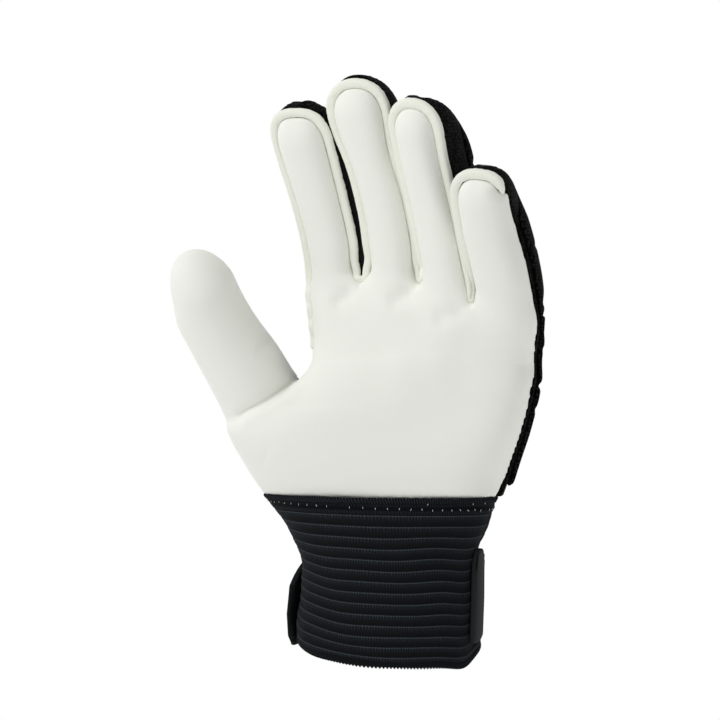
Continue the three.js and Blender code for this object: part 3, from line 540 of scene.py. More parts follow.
# ------------------------------------------------------------------ materials
class Nodes:
    def __init__(self, name):
        self.mat = bpy.data.materials.new(name)
        self.mat.use_nodes = True
        self.t = self.mat.node_tree
        self.bsdf = self.t.nodes["Principled BSDF"]
        self.coord = self.t.nodes.new("ShaderNodeTexCoord")

    def node(self, kind, **kw):
        n = self.t.nodes.new(kind)
        for k, v in kw.items():
            if hasattr(n, k):
                setattr(n, k, v)
        return n

    def link(self, a, b):
        self.t.links.new(a, b)

    def put(self, socket, value):
        if hasattr(value, "is_linked"):
            self.link(value, socket)
        else:
            socket.default_value = value

    def math(self, op, a, b=0.0, c=0.0, clamp=False):
        n = self.node("ShaderNodeMath", operation=op)
        n.use_clamp = clamp
        for i, v in enumerate((a, b, c)):
            self.put(n.inputs[i], v)
        return n.outputs[0]

    def xyz(self, scale=1000.0):
        """Object coordinates in mm."""
        n = self.node("ShaderNodeVectorMath", operation="SCALE")
        self.link(self.coord.outputs["Object"], n.inputs[0])
        n.inputs["Scale"].default_value = scale
        sep = self.node("ShaderNodeSeparateXYZ")
        self.link(n.outputs[0], sep.inputs[0])
        return n.outputs[0], sep.outputs[0], sep.outputs[1], sep.outputs[2]

    def run(self):
        """The mesh's own running lengths, in mm."""
        n = self.node("ShaderNodeUVMap", uv_map="run")
        sep = self.node("ShaderNodeSeparateXYZ")
        self.link(n.outputs[0], sep.inputs[0])
        return n.outputs[0], sep.outputs[0], sep.outputs[1]

    def noise(self, vec, scale, detail=2.0, rough=0.5):
        n = self.node("ShaderNodeTexNoise")
        self.link(vec, n.inputs["Vector"])
        n.inputs["Scale"].default_value = scale
        n.inputs["Detail"].default_value = detail
        n.inputs["Roughness"].default_value = rough
        return n.outputs["Fac"] if "Fac" in n.outputs else n.outputs[0]

    def mix(self, fac, a, b):
        n = self.node("ShaderNodeMix", data_type="RGBA")
        self.put(n.inputs[0], fac)
        self.put(n.inputs[6], a)
        self.put(n.inputs[7], b)
        return n.outputs[2]

    def ramp(self, fac, lo, hi, a=0.0, b=1.0):
        n = self.node("ShaderNodeMapRange")
        n.clamp = True
        for i, v in enumerate((fac, lo, hi, a, b)):
            self.put(n.inputs[i], v)
        return n.outputs[0]

    def bump(self, height, distance, strength=1.0, after=None):
        n = self.node("ShaderNodeBump")
        self.link(height, n.inputs["Height"])
        n.inputs["Distance"].default_value = distance
        n.inputs["Strength"].default_value = strength
        if after is not None:
            self.link(after, n.inputs["Normal"])
        return n.outputs[0]

    def finish(self, color, rough, normal=None, **consts):
        self.put(self.bsdf.inputs["Base Color"], color)
        self.put(self.bsdf.inputs["Roughness"], rough)
        if normal is not None:
            self.link(normal, self.bsdf.inputs["Normal"])
        for k, v in consts.items():
            self.bsdf.inputs[k.replace("_", " ")].default_value = v
        return self.mat


def rgb(h):
    out = []
    for i in (0, 2, 4):
        c = int(h[i:i + 2], 16) / 255
        out.append(c / 12.92 if c <= 0.04045 else ((c + 0.055) / 1.055) ** 2.4)
    return (*out, 1.0)


def foam_material(name, tone, grain=1.0, fuzz=0.0):
    m = Nodes(name)
    vec, x, y, z = m.xyz()
    cell = m.noise(vec, 2.6, 3.0, 0.6)
    soft = m.noise(vec, 0.05, 2.0, 0.5)
    warm = m.mix(m.ramp(soft, 0.3, 0.7), rgb(tone), tuple(0.985 * c if i < 3 else 1.0 for i, c in enumerate(rgb(tone))))
    shade = m.mix(m.ramp(cell, 0.35, 0.65), tuple(0.975 * c if i < 3 else 1.0 for i, c in enumerate(rgb(tone))), warm)
    n = m.bump(cell, 0.00007 * grain, 1.0)
    if fuzz:
        rough = m.noise(vec, 1.1, 4.0, 0.7)
        n = m.bump(rough, 0.0003 * fuzz, 1.0, n)
    mat = m.finish(shade, 0.78, n, Specular_IOR_Level=0.28, Subsurface_Weight=0.12, Subsurface_Scale=0.0025, Sheen_Weight=0.06, Sheen_Roughness=0.5)
    m.bsdf.inputs["Subsurface Radius"].default_value = (1.0, 0.9, 0.75)
    return mat


def textile_material(name, tone, pitch=1.45, depth=0.00028, gloss=0.62):
    """Knitted mesh: small raised knots, a little uneven, with a painted highlight on the knots and painted shade in the
    gaps between them.
    """
    m = Nodes(name)
    vec, x, y, z = m.xyz()
    cells = m.node("ShaderNodeTexVoronoi", voronoi_dimensions="3D", feature="F1")
    m.link(vec, cells.inputs["Vector"])
    cells.inputs["Scale"].default_value = 1.0 / pitch
    cells.inputs["Randomness"].default_value = 0.55
    diamond = cells.outputs["Distance"]
    fine = m.noise(vec, 3.2, 2.0, 0.6)
    h = m.math("ADD", m.math("POWER", diamond, 0.6), m.math("MULTIPLY", fine, 0.25))
    base = rgb(tone)
    # painted light: knot tops get a painted highlight (3.8x the tone), the gaps between knots get painted shade (0.25x
    # the tone)
    gap_shade = m.ramp(m.math("ADD", diamond, m.math("MULTIPLY", m.math("SUBTRACT", fine, 0.5), 0.25)), 0.22, 0.5)
    col = m.mix(gap_shade, tuple(3.8 * c if i < 3 else 1 for i, c in enumerate(base)), tuple(0.25 * c if i < 3 else 1 for i, c in enumerate(base)))
    n = m.bump(m.math("MULTIPLY", h, -1.0), depth, 1.0)
    return m.finish(col, gloss, n, Specular_IOR_Level=0.025, Sheen_Weight=0.0, Sheen_Roughness=0.4)


def knit_teeth(m, u, ovec, pitch=1.06):
    """Upright knit loops, a little uneven."""
    jig = m.math("MULTIPLY", m.noise(ovec, 0.35, 3.0, 0.6), 1.6)
    t = m.math("SINE", m.math("MULTIPLY", m.math("ADD", u, jig), 2 * math.pi / pitch))
    return m.ramp(t, -0.35, 0.85)


def elastic_material(name):
    m = Nodes(name)
    vec, u, v = m.run()  # u: mm round the cuff, v: rib count
    ovec = m.xyz()[0]
    lint = m.noise(ovec, 2.2, 3.0, 0.7)
    patch = m.noise(ovec, 0.09, 3.0, 0.55)
    ph = m.math("FRACT", m.math("ADD", v, m.math("MULTIPLY", m.math("SUBTRACT", lint, 0.5), 0.10)))
    knit = knit_teeth(m, u, ovec)
    # painted light from above on every rib: the lower part of each rib is painted darker (dark to mid over its phase)
    # as painted shade; its upper edge gets a light line and lighter knit teeth as a painted highlight
    teeth = m.math("MULTIPLY", m.ramp(ph, 0.50, 0.68), m.ramp(ph, 0.92, 0.87))
    edge = m.math("MULTIPLY", m.math("MULTIPLY", m.ramp(ph, 0.84, 0.89), m.ramp(ph, 0.99, 0.95)), m.math("ADD", m.math("MULTIPLY", knit, 0.5), 0.5))
    # the hem tone is the painted highlight line along each rib's top edge; light is the painted highlight on the knit
    # teeth
    dark, mid, light, hem = rgb("0b0d10"), rgb("111417"), rgb("272c31"), rgb("4a5157")
    body = m.mix(m.ramp(ph, 0.1, 0.5), dark, mid)
    body = m.mix(m.math("MULTIPLY", m.math("MULTIPLY", teeth, knit), m.ramp(patch, 0.25, 0.75, 0.55, 1.0)), body, light)
    body = m.mix(m.math("MULTIPLY", edge, m.math("ADD", m.math("MULTIPLY", lint, 0.8), 0.2)), body, hem)
    body = m.mix(m.math("MULTIPLY", m.ramp(lint, 0.58, 0.8), 0.30), body, rgb("1f2328"))
    h = m.math("ADD", m.math("MULTIPLY", knit, m.math("ADD", m.math("MULTIPLY", teeth, 0.8), 0.15)), m.math("MULTIPLY", lint, 0.8))
    n = m.bump(h, 0.00022, 1.0)
    return m.finish(body, 0.88, n, Specular_IOR_Level=0.07, Sheen_Weight=0.012, Sheen_Roughness=0.45)


def band_material(name):
    """The same elastic, overlocked along its upper edge."""
    m = Nodes(name)
    vec, u, v = m.run()  # u: mm round the seam, v: mm below its upper edge (minus)
    ovec = m.xyz()[0]
    lint = m.noise(ovec, 2.2, 3.0, 0.7)
    knit = knit_teeth(m, u, ovec)
    slant = m.math("SINE", m.math("MULTIPLY", m.math("ADD", u, m.math("MULTIPLY", v, 0.3)), 2 * math.pi / 1.145))
    loops = m.math("MULTIPLY", m.ramp(slant, -0.2, 0.7), m.ramp(v, -2.1, -1.5))
    rows = m.math("MULTIPLY", m.ramp(v, -3.4, -2.9), m.ramp(v, -1.9, -2.3))
    low = m.math("MULTIPLY", m.ramp(v, -6.2, -5.8), m.ramp(v, -4.4, -4.9))
    dark, light = rgb("08090b"), rgb("2c3036")
    body = m.mix(m.math("MULTIPLY", m.math("ADD", rows, low), m.math("ADD", m.math("MULTIPLY", knit, 0.8), 0.1)), dark, rgb("202328"))
    body = m.mix(m.math("MULTIPLY", loops, 0.85), body, light)
    body = m.mix(m.math("MULTIPLY", m.ramp(lint, 0.56, 0.8), 0.35), body, rgb("24272c"))
    h = m.math("ADD", m.math("MULTIPLY", m.math("ADD", loops, m.math("MULTIPLY", knit, 0.5)), 0.8), m.math("MULTIPLY", lint, 0.8))
    return m.finish(body, 0.88, m.bump(h, 0.00022, 1.0), Specular_IOR_Level=0.07, Sheen_Weight=0.012, Sheen_Roughness=0.45)


def strap_material(name):
    m = Nodes(name)
    vec, u, v = m.run()
    ovec = m.xyz()[0]
    a = m.math("SINE", m.math("MULTIPLY", u, 2 * math.pi / 1.3))
    b = m.math("SINE", m.math("MULTIPLY", v, 2 * math.pi / 1.3))
    weave = m.math("MULTIPLY", a, b)
    fuzz = m.noise(ovec, 1.6, 4.0, 0.7)
    h = m.math("ADD", m.math("MULTIPLY", weave, 0.5), fuzz)
    col = m.mix(m.ramp(fuzz, 0.4, 0.75), rgb("101112"), rgb("2c2d30"))
    return m.finish(col, 0.8, m.bump(h, 0.0003, 1.0), Specular_IOR_Level=0.06, Sheen_Weight=0.01)


def rubber_material(name, tone="292a2b"):
    m = Nodes(name)
    vec = m.xyz()[0]
    grain = m.noise(vec, 2.2, 3.0, 0.5)
    base = rgb(tone)
    col = m.mix(m.ramp(grain, 0.3, 0.7), tuple(0.9 * c if i < 3 else 1 for i, c in enumerate(base)), tuple(1.1 * c if i < 3 else 1 for i, c in enumerate(base)))
    return m.finish(col, 0.7, m.bump(grain, 0.00004, 1.0), Specular_IOR_Level=0.06)


def thread_material(name, tone, gloss=0.35, shine=0.5):
    m = Nodes(name)
    vec = m.xyz()[0]
    twist = m.noise(vec, 4.0, 2.0, 0.5)
    base = rgb(tone)
    col = m.mix(m.ramp(twist, 0.3, 0.7), tuple(0.7 * c if i < 3 else 1 for i, c in enumerate(base)), base)
    return m.finish(col, gloss, m.bump(twist, 0.00006, 1.0), Specular_IOR_Level=shine)


MAT = {
    "foam": foam_material("latex_foam", "f0f1ea", 1.0),
    "welt": foam_material("foam_rim", "eeefe4", 1.3, 0.5),
    "textile": textile_material("mesh_textile", "0e0e0d", 1.35, 0.0003, 0.75),
    "pad": textile_material("pad_textile", "0f0f0f", 1.5, 0.0003, 0.75),
    "elastic": elastic_material("ribbed_elastic"),
    "band": band_material("overlocked_elastic"),
    "strap": strap_material("strap_weave"),
    "rubber": rubber_material("strap_rubber"),
    "binding": textile_material("navy_binding", "10121b", 0.7, 0.0001, 0.7),
    "thread": thread_material("dark_thread", "0e0f12", 0.8, 0.08),
    "glint": thread_material("thread_glint", "c9ccce", 0.3),
}


def piece(ob, nodes):
    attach(ob, "root")
    if nodes:
        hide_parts(*nodes)
    return ob


# ------------------------------------------------------------------ raised rim
def seam_frame(name):
    """Left, round the tip, and right of a finger's seam: points and directions out of the palm side."""
    f = FINGERS[name]
    t, cx, cy, cw, sx, sy = finger_frame(f)
    r = math.radians(f["roll"])
    cap_low = f["tip"] - f["drop"] - f["round"]

    def at(z, u):
        z = np.asarray(z, float)
        dx, dy = np.interp(z, t, sx), np.interp(z, t, sy)
        n = np.sqrt(1 + dx * dx + dy * dy)
        T = np.stack([dx / n, dy / n, 1 / n], -1)
        a = np.array((math.cos(r), math.sin(r), 0.0))
        e1 = unit(a - (T @ a)[:, None] * T)
        e2 = np.cross(T, e1)
        c = np.stack([np.interp(z, t, cx), np.interp(z, t, cy), z], -1)
        w = np.interp(z, t, cw)
        return c + e1 * (w * u)[:, None], e2

    z0 = f["rows"][1][0]
    zs = np.arange(z0, cap_low, 1.0)
    left, el = at(zs, -np.ones(len(zs)))
    right, er = at(zs, np.ones(len(zs)))
    ph = np.linspace(0, np.pi, 41)[1:-1]
    c, s = np.cos(ph), np.sin(ph)
    e = np.where((c < 0) & ("bare" in f), 2 / 3.0, 2 / (2.25 + f.get("square", 0) * (c > 0)))
    u = -np.sign(c) * np.abs(c) ** e
    zc = cap_low + f["round"] * np.abs(s) ** e
    tip, et = at(zc, u)
    return left, el, tip, et, right[::-1], er[::-1]


# Loops of the rim between the fingers: middle x, z, half gap, width share, length over which the strands narrow.
LOOPS = [(-8.2, 165.9, 2.2, 0.92, 16.0), (20.2, 166.5, 1.6, 0.76, 22.0), (43.1, 158.0, 0.55, 0.38, 26.0)]


def front_y(x, z):
    """Depth of the front surface at places x, z of the palm face."""
    i = np.clip(((x - LO[0]) / H).round().astype(int), 0, SHAPE[0] - 1)
    k = np.clip(((z - LO[2]) / H).round().astype(int), 0, SHAPE[2] - 1)
    col = F[i, :, k]
    hit = col < 0
    j = np.where(hit.any(1), hit.argmax(1), 0)
    a, b = col[np.arange(len(j)), np.maximum(j - 1, 0)], col[np.arange(len(j)), j]
    y = LO[1] + H * (j - b / np.where(np.abs(b - a) < 1e-6, 1, b - a))
    return np.where(j > 0, y, 99.0)


def rim_piece():
    parts, ups, sizes = [], [], []
    frames = [seam_frame(n) for n in NAMES]
    start = np.array([(-29.4, -13.6, 132.5), (-29.7, -12.4, 141), (-30.8, -11.6, 150), (-31.9, -10.8, 156)])
    parts.append(start)
    ups.append(np.tile((0, 1.0, 0), (len(start), 1)))
    sizes.append(np.full(len(start), 0.8))

    def ends(p, loop, sign):
        """Leads a strand's lower end to its loop, and narrows it."""
        xc, zc, h, share, reach = loop
        w = 1 - step01(p[:, 2], zc, zc + reach)
        near = 1 - step01(p[:, 2], zc, zc + 9.0)
        p = p.copy()
        p[:, 0] = p[:, 0] * (1 - near) + (xc + sign * h) * near
        return p, 1 - (1 - share) * w

    for i, (l, el, t, et, r, er) in enumerate(frames):
        if i == 0:
            l, el = l[3:], el[3:]
            sl = np.full(len(l), 0.9)
        else:
            keep = l[:, 2] > LOOPS[i - 1][1]
            l, el = l[keep], el[keep]
            l, sl = ends(l, LOOPS[i - 1], 1)
        if i < 3:
            keep = r[:, 2] > LOOPS[i][1]
            r, er = r[keep], er[keep]
            r, sr = ends(r, LOOPS[i], -1)
        else:
            t, et, r, er, sr = t[:-1], et[:-1], r[:0], er[:0], np.zeros(0)
        parts += [l, t, r]
        ups += [el, et, er]
        sizes += [sl, np.full(len(t), 1.0), sr]
        if i < 3:
            nl = frames[i + 1][0]
            nl = nl[nl[:, 2] > LOOPS[i][1]]
            xc, zc, h, share, _ = LOOPS[i]
            ang = np.linspace(0, np.pi, 15)[1:-1]
            arc = np.stack([xc - h * np.cos(ang), np.full(len(ang), (r[-1, 1] + nl[0, 1]) / 2), zc - h * np.sin(ang)], -1)
            parts.append(arc)
            ups.append(np.tile(er[-1] * 0.5 + frames[i + 1][1][2] * 0.5, (len(arc), 1)))
            sizes.append(np.full(len(arc), share))
    line, up, size = np.concatenate(parts), np.concatenate(ups), np.concatenate(sizes)
    both = resample(np.hstack([line, up * 3.0, size[:, None]]), 0.45)
    line, up, size = smooth_line(both[:, :3], 3), unit(smooth_line(both[:, 3:6], 14)), smooth_line(both[:, 6:7], 8)[:, 0]
    line = line - up * 0.9
    left_over = 0.45 * (len(line) - 1 - np.arange(len(line)))
    size = size * (0.35 + 0.65 * step01(left_over, 0.0, 6.0))
    # where the foam would cover the rim, it lies on the foam
    covered = front_y(line[:, 0], line[:, 2]) + 0.75 * size
    y = np.minimum(line[:, 1], covered)
    y = smooth_line(np.column_stack([y, y]), 10)[:, 0]
    line[:, 1] = np.minimum(y, line[:, 1])
    return line, up, size


rim_line, rim_up, rim_size = rim_piece()
fuzz = value_noise(rim_line, 2.2, 3) * 0.2 + value_noise(rim_line, 1.1, 4) * 0.2
wide = value_noise(rim_line, 14.0, 5) * 0.14


def rim_profile(i, t):
    # a rolled foam edge: flat towards the palm side, full and slightly ragged on the outer side
    c, s = np.cos(t), np.sin(t)
    k = rim_size[i]
    a = 2.08 * k * np.sign(c) * np.abs(c) ** 0.78 * (1 + wide[i])
    b = (0.5 + 1.2 * k) * np.sign(s) * np.abs(s) ** 0.80
    rag = fuzz[i] * (0.4 + 0.6 * np.cos(t * 3 + i * 0.9)) * k
    return a + rag * np.sign(c) * 0.8, b + rag * 0.5


# ------------------------------------------------------------------ foam front
# round the loops the foam runs on under the rim
for i, (xc, zc, h, share, reach) in enumerate(LOOPS):
    line = rim_line[(np.abs(rim_line[:, 0] - xc) < 9) & (rim_line[:, 2] < zc + 15)]
    deep = line[:, 1].max()
    s, x, y, z = block((xc - 12, line[:, 1].min() - 6, zc - 10), (xc + 12, deep + 11, zc + 20))
    d = np.full((x.shape[0], z.shape[2]), 99.0)
    x2, z2 = x[:, 0, :], z[0, 0, :][None, :]
    for q in line[::3]:
        d = np.minimum(d, np.hypot(x2 - q[0], z2 - q[2]))
    push = np.exp(-((d / 2.4) ** 2)) * step01(-z2, -(zc + 16), -(zc + 8))
    if i == 0:
        a, b = line[line[:, 0] < xc], line[line[:, 0] >= xc]
        a, b = a[np.argsort(a[:, 2])], b[np.argsort(b[:, 2])]
        lx, rx = np.interp(z2, a[:, 2], a[:, 0]), np.interp(z2, b[:, 2], b[:, 0])
        push = push * (1 - step01(x2 - lx, -0.9, 0.1) * step01(rx - x2, -0.9, 0.1) * step01(z2, zc - h - 0.4, zc - h + 0.8))
    S[s] -= (6.5 * push[:, None, :] * step01(-y, -(deep + 9), -(deep + 4))).astype(np.float32)
EDGE = 1.3
foam = smax(smax(F, -(F + FOAM), EDGE), S + 0.15, EDGE)
foam = smax(foam, PLANE + 0.2, 0.8)
BED = np.full(SHAPE, FAR, np.float32)
for p, k in zip(rim_line[::2], rim_size[::2]):
    s, X1, Y1, Z1 = block(p - 4.2, p + 4.2)
    r = np.sqrt((X1 - p[0]) ** 2 + ((Y1 - p[1]) * 1.1) ** 2 + (Z1 - p[2]) ** 2) - (1.78 * k)
    BED[s] = np.minimum(BED[s], r)
foam = smax(foam, -BED, 0.7)
pts, quads = surface(foam)
pts = relax(pts, quads, 1)
palm_foam = piece(make("palm_foam_front", pts, quads, MAT["foam"]), ["palm_foam"])
print("foam quads", len(quads))

# ------------------------------------------------------------------ black back
back = smax(smax(F, -(F + TEXTILE), 0.8), -S + 0.25, 1.0)
back = smax(back, PLANE + 0.2, 0.8)
pts, quads = surface(back)
pts = relax(pts, quads, 1)
backhand = piece(make("backhand_shell", pts, quads, MAT["textile"]), ["backhand"])
print("back quads", len(quads))

# ------------------------------------------------------------------ pads
def groove_depth(z, at, width=1.3):
    g = np.zeros(np.shape(z))
    for a, deep in at:
        g = np.maximum(g, deep * np.exp(-(((z - a) / width) ** 2)))
    return g


FINGER_GROOVES = {"index": ((183, 1.4), (206, 1.4)), "middle": ((185, 1.4), (213, 1.4)), "ring": ((184, 1.2), (206, 1.0)),
                  "little": ((172.5, 0.5), (202.0, 1.5))}
for name in NAMES:
    s, u, z, w, v = PADF[name]
    f = FINGERS[name]
    local = F[s]
    lift = PAD_HEIGHT - groove_depth(z, FINGER_GROOVES[name])
    lift = lift * (1 - 0.94 * step01(z, f["tip"] - 30, f["tip"] - 10)) + 0.04
    low = f["rows"][0][0] + (20 if name != "little" else 8.6)
    if name == "little":
        lift = lift - 0.9 * step01(-z, -156, -147)
    reach = np.full(np.shape(z), 1.5)
    if name == "little":
        reach = 1.5 - 3.4 * step01(u, 0, 4) * step01(196 - z, 0, 10)
    pad = smax(local - lift, -(local + 0.6), 0.8)
    pad = smax(pad, 3.6 - v, 2.2)
    pad = smax(pad, low - z, 2.0 if name != "little" else 1.0)
    pad = smax(pad, np.abs(u) - w + reach, 2.4)
    pts, quads = surface(pad, s)
    pts = relax(pts, quads, 1)
    ob = piece(make("back_pad_" + name, pts, quads, MAT["pad"]), ["finger_pad_" + name])

s, Up, Fpp, Sp = PALMF
_, X, Y, Z = block((-92, -44, 56), (76, 36, 176))
local = F[s]
z3 = Z + 0 * X + 0 * Y
lift = PAD_HEIGHT - groove_depth(z3, PAD_GROOVES) - 0.8 * step01(X, 50, 60) * step01(z3, 137, 143) * step01(-z3, -155, -147)
panel = smax(local - lift, -(local + 0.6), 0.8)
panel = smax(panel, 4.0 - Sp, 2.5)
left = np.interp(Z, [70, 95, 115, 135, 165], [-46, -44, -38, -27, -27])
panel = smax(panel, left - X, 3.0)
panel = smax(panel, (70.6 + 0.05 * X) - z3, 3.0)
panel = smax(panel, z3 - np.interp(X, [-30, 0, 36, 48, 60], [160, 162, 158, 151.5, 149.8]), 1.0)
pts, quads = surface(panel, s)
pts = relax(pts, quads, 1)
ob = piece(make("back_pad_panel", pts, quads, MAT["pad"]), ["back_panel"])


# ------------------------------------------------------------------ rim mesh
pts, quads, uv = sweep(rim_line, rim_up, rim_profile, 4)
rim = piece(make("finger_rim", pts, quads, MAT["welt"], uv), ["finger_welt"])


# ------------------------------------------------------------------ cuff
CT, CV = smooth_rows(CUFF)
CUFF_TOP = CUFF[-1, 0]


def lean_at(z):
    return np.clip((z - 12) / (CUFF_TOP - 12), 0, 1)


def cuff_point(theta, z, grow):
    c, s = np.cos(theta), np.sin(theta)
    cx, a, b = (np.interp(z, CT, CV[:, j]) for j in range(3))
    lump = np.exp(-(((((theta - 0.3 + np.pi) % (2 * np.pi)) - np.pi) / 0.24) ** 2)) * step01(-z, -6.5, -4.0)
    grow = grow + 2.6 * lump
    x = cx + (a + grow) * np.sign(c) * np.abs(c) ** 0.95
    y = (b + grow) * np.sign(s) * np.abs(s) ** 0.95
    k = lean_at(z)
    corner = np.exp(-(((((theta + 0.2 + np.pi) % (2 * np.pi)) - np.pi) / 0.4) ** 2))
    zz = z + k * (SEAM_Z - CUFF_TOP + SEAM_X * x + SEAM_Y * y) + (1 - k) * (HEM_DIP * y - HEM_CORNER * corner)
    return np.stack([x, y, zz], -1)


def round_length(z):
    th = np.linspace(0, 2 * np.pi, 721)
    p = cuff_point(th, np.full(721, z), 0.0)
    return np.concatenate([[0], np.cumsum(np.linalg.norm(np.diff(p, axis=0), axis=1))])


def rib_shape(ph):
    """Stand-off of a rib over its phase: a full upper edge, falling back to the groove below."""
    ph = ph % 1.0
    up = np.clip((1 - ph) / 0.14, 0, 1)
    up = np.sqrt(np.clip(1 - (1 - up) ** 2, 0, 1))
    low = np.clip(ph / 0.5, 0, 1) ** 0.7
    return up * (0.35 + 0.65 * low)


RIBS_LOW, RIBS_HIGH = 0.8, 61.6
nth = 380
th = np.linspace(0, 2 * np.pi, nth, endpoint=False)
zs = np.concatenate([np.arange(RIBS_LOW, RIBS_HIGH, 0.34), np.linspace(RIBS_HIGH, CUFF_TOP - 0.3, 12)])
TH, ZS = np.meshgrid(th, zs)
wave = (0.3 * np.sin(3 * TH + 0.6) + 0.2 * np.sin(7 * TH + ZS * 0.09)) * step01(ZS, 0, 12) * step01(-ZS, -60, -48)
bunch = 0.5 * np.exp(-(((np.abs(TH - np.pi) - 0.25) / 0.22) ** 2)) * np.sin(ZS * 0.42)
phase = (ZS + wave + bunch) / RIB_PITCH
relief = np.where(ZS < RIBS_HIGH, 0.34 * rib_shape(phase) - 0.22, 0.0)
relief = np.where(ZS > 55, relief * 0.8, relief)
relief += 0.10 * np.sin(5 * TH + 0.35 * ZS) + 0.15 * value_noise(np.stack([TH.ravel() * 40, ZS.ravel(), 0 * ZS.ravel()], 1), 9.0, 11).reshape(ZS.shape)
outer = cuff_point(TH, ZS, relief)
zi = np.array([CUFF_TOP - 0.3, 63, 56, 50, 44, 36, 28, 20, 12, 6, 2, RIBS_LOW])
THI, ZI = np.meshgrid(th, zi)
inner = cuff_point(THI, ZI, -2.7)
allp = np.concatenate([outer.reshape(-1, 3), inner.reshape(-1, 3), outer[0]])
rows = len(zs) + len(zi) + 1
quads = grid_quads(rows, nth, True)
uvm = np.stack([TH / (2 * np.pi) * 226.0, phase], -1).reshape(-1, 2)
uvi = np.stack([THI / (2 * np.pi) * 226.0, ZI / RIB_PITCH], -1).reshape(-1, 2)
uv = np.concatenate([uvm, uvi, uvm[:nth]])
cuff = piece(make("elastic_cuff", allp, quads, MAT["elastic"], uv), ["wrist_cuff"])

# toothed hem: a rolled edge under the lowest rib
nh = 1128
th2 = np.linspace(0, 2 * np.pi, nh, endpoint=False)
tooth = 0.5 + 0.5 * np.sin(th2 * 156 + 0.8 * np.sin(th2 * 11))
prof = [(-2.6, 1.6), (-2.7, 0.3), (-2.2, -0.7), (-1.2, -1.25), (-0.3, -1.35), (0.35, -0.9), (0.6, -0.2), (0.5, 0.7), (0.05, 1.6)]
rows_ = []
for g, dz in prof:
    low = max(0.0, (0.9 - dz) / 2.2)
    z = np.full(nh, 0.9) + dz - 0.75 * tooth * low + 0.15 * np.sin(9 * th2) * low
    p = cuff_point(th2, np.maximum(z, -2.4), g + 0.3 * tooth * low)
    p[:, 2] += np.minimum(z + 2.4, 0)
    rows_.append(p)
pts = np.concatenate(rows_ + [rows_[0]])
hem = piece(make("toothed_hem", pts, grid_quads(len(prof) + 1, nh, True), MAT["elastic"],
                 np.tile(np.column_stack([th2 / (2 * np.pi) * 226, np.full(nh, 0.25)]), (len(prof) + 1, 1))), [])

# overlocked band where cuff and palm meet
nb = 1600
th3 = np.linspace(0, 2 * np.pi, nb, endpoint=False)
prof = [(-0.2, -6.3), (0.1, -6.1), (0.2, -5.7), (0.28, -5.2), (0.3, -4.6), (0.3, -4.0), (0.22, -3.4), (0.12, -2.9), (0.12, -2.4), (0.4, -2.0), (0.7, -1.5), (0.85, -0.9), (0.75, -0.3), (0.5, 0.1), (0.0, 0.3), (-0.9, 0.2), (-2.6, -0.6), (-2.8, -6.0)]
rows_, uvs_ = [], []
for k, (g, dz) in enumerate(prof):
    up = step01(dz, -2.2, -0.6)
    lag = np.sin(th3 * 262 + dz * 1.0)
    gg = g + 0.13 * lag * up + 0.08 * np.sin(th3 * 31) * up
    p = cuff_point(th3, np.full(nb, CUFF_TOP + min(dz, 0)), gg)
    p[:, 2] += max(dz, 0) + 0.12 * lag * up + 0.25 * value_noise(p, 8.0, 21) * up
    rows_.append(p)
    uvs_.append(np.column_stack([th3 / (2 * np.pi) * 300.0, np.full(nb, dz)]))
pts = np.concatenate(rows_ + [rows_[0]])
band = piece(make("overlock_band", pts, grid_quads(len(prof) + 1, nb, True), MAT["band"], np.concatenate(uvs_ + [uvs_[0]])), ["cuff_seam_band"])


# ------------------------------------------------------------------ stitches
def capsules(ends, radius, sides=8, rings=3):
    """Many short rounded threads joined in one mesh. ends: list of (a, b) points."""
    pts, quads = [], []
    base = 0
    for a, b in ends:
        a, b = np.asarray(a, float), np.asarray(b, float)
        d = b - a
        L = np.linalg.norm(d)
        t = d / L
        u = unit(np.cross(t, (0.3, 0.5, 0.81))[None])[0]
        v = np.cross(t, u)
        st = []
        for q in np.linspace(0, 1, rings + 1):
            st.append((-math.cos(q * math.pi / 2) * radius, max(0.04, math.sin(q * math.pi / 2)) * radius))
        prof = [(p, r) for p, r in st] + [(L - p, r) for p, r in st[::-1]]
        ang = np.linspace(0, 2 * np.pi, sides, endpoint=False)
        for p, r in prof:
            pts.append(a + t * p + r * (np.outer(np.cos(ang), u) + np.outer(np.sin(ang), v)))
        q = grid_quads(len(prof), sides, True) + base
        quads.append(q)
        base += sides * len(prof)
    return np.concatenate(pts), np.concatenate(quads)


threads, glints = [], []
for row, g in enumerate((0.30, 0.28)):
    n = 62
    for i in range(n):
        a0 = 2 * np.pi * (i + 0.5 * row) / n
        down = 1.9 if row == 0 else 3.6 + 1.0 * math.cos(a0)
        t1 = a0 + 0.42 * 2 * np.pi / n
        p = cuff_point(np.array([a0, t1]), np.array([CUFF_TOP - down] * 2), g)
        p[:, 2] += RNG.normal(0, 0.12, 2)
        threads.append((p[0], p[1]))
        # near-white capsules beside the stitches are painted glints: painted highlights of light on the dark thread,
        # not white thread
        if RNG.random() < (0.92 if row == 1 else 0.15):
            o = unit(p[1] * (1, 1, 0))
            s0 = p[1] + o * 0.22
            tilt = RNG.normal(0, 0.12)
            side = unit((p[1] - p[0])[None])[0]
            glints.append((s0 - np.array((0, 0, 0.3)) + side * tilt, s0 + np.array((0, 0, 0.3)) - side * tilt))
pts, quads = capsules(threads, 0.3)
piece(make("seam_stitches", pts, quads, MAT["thread"]), [])
pts, quads = capsules(glints, 0.13)
piece(make("stitch_glints", pts, quads, MAT["glint"]), [])


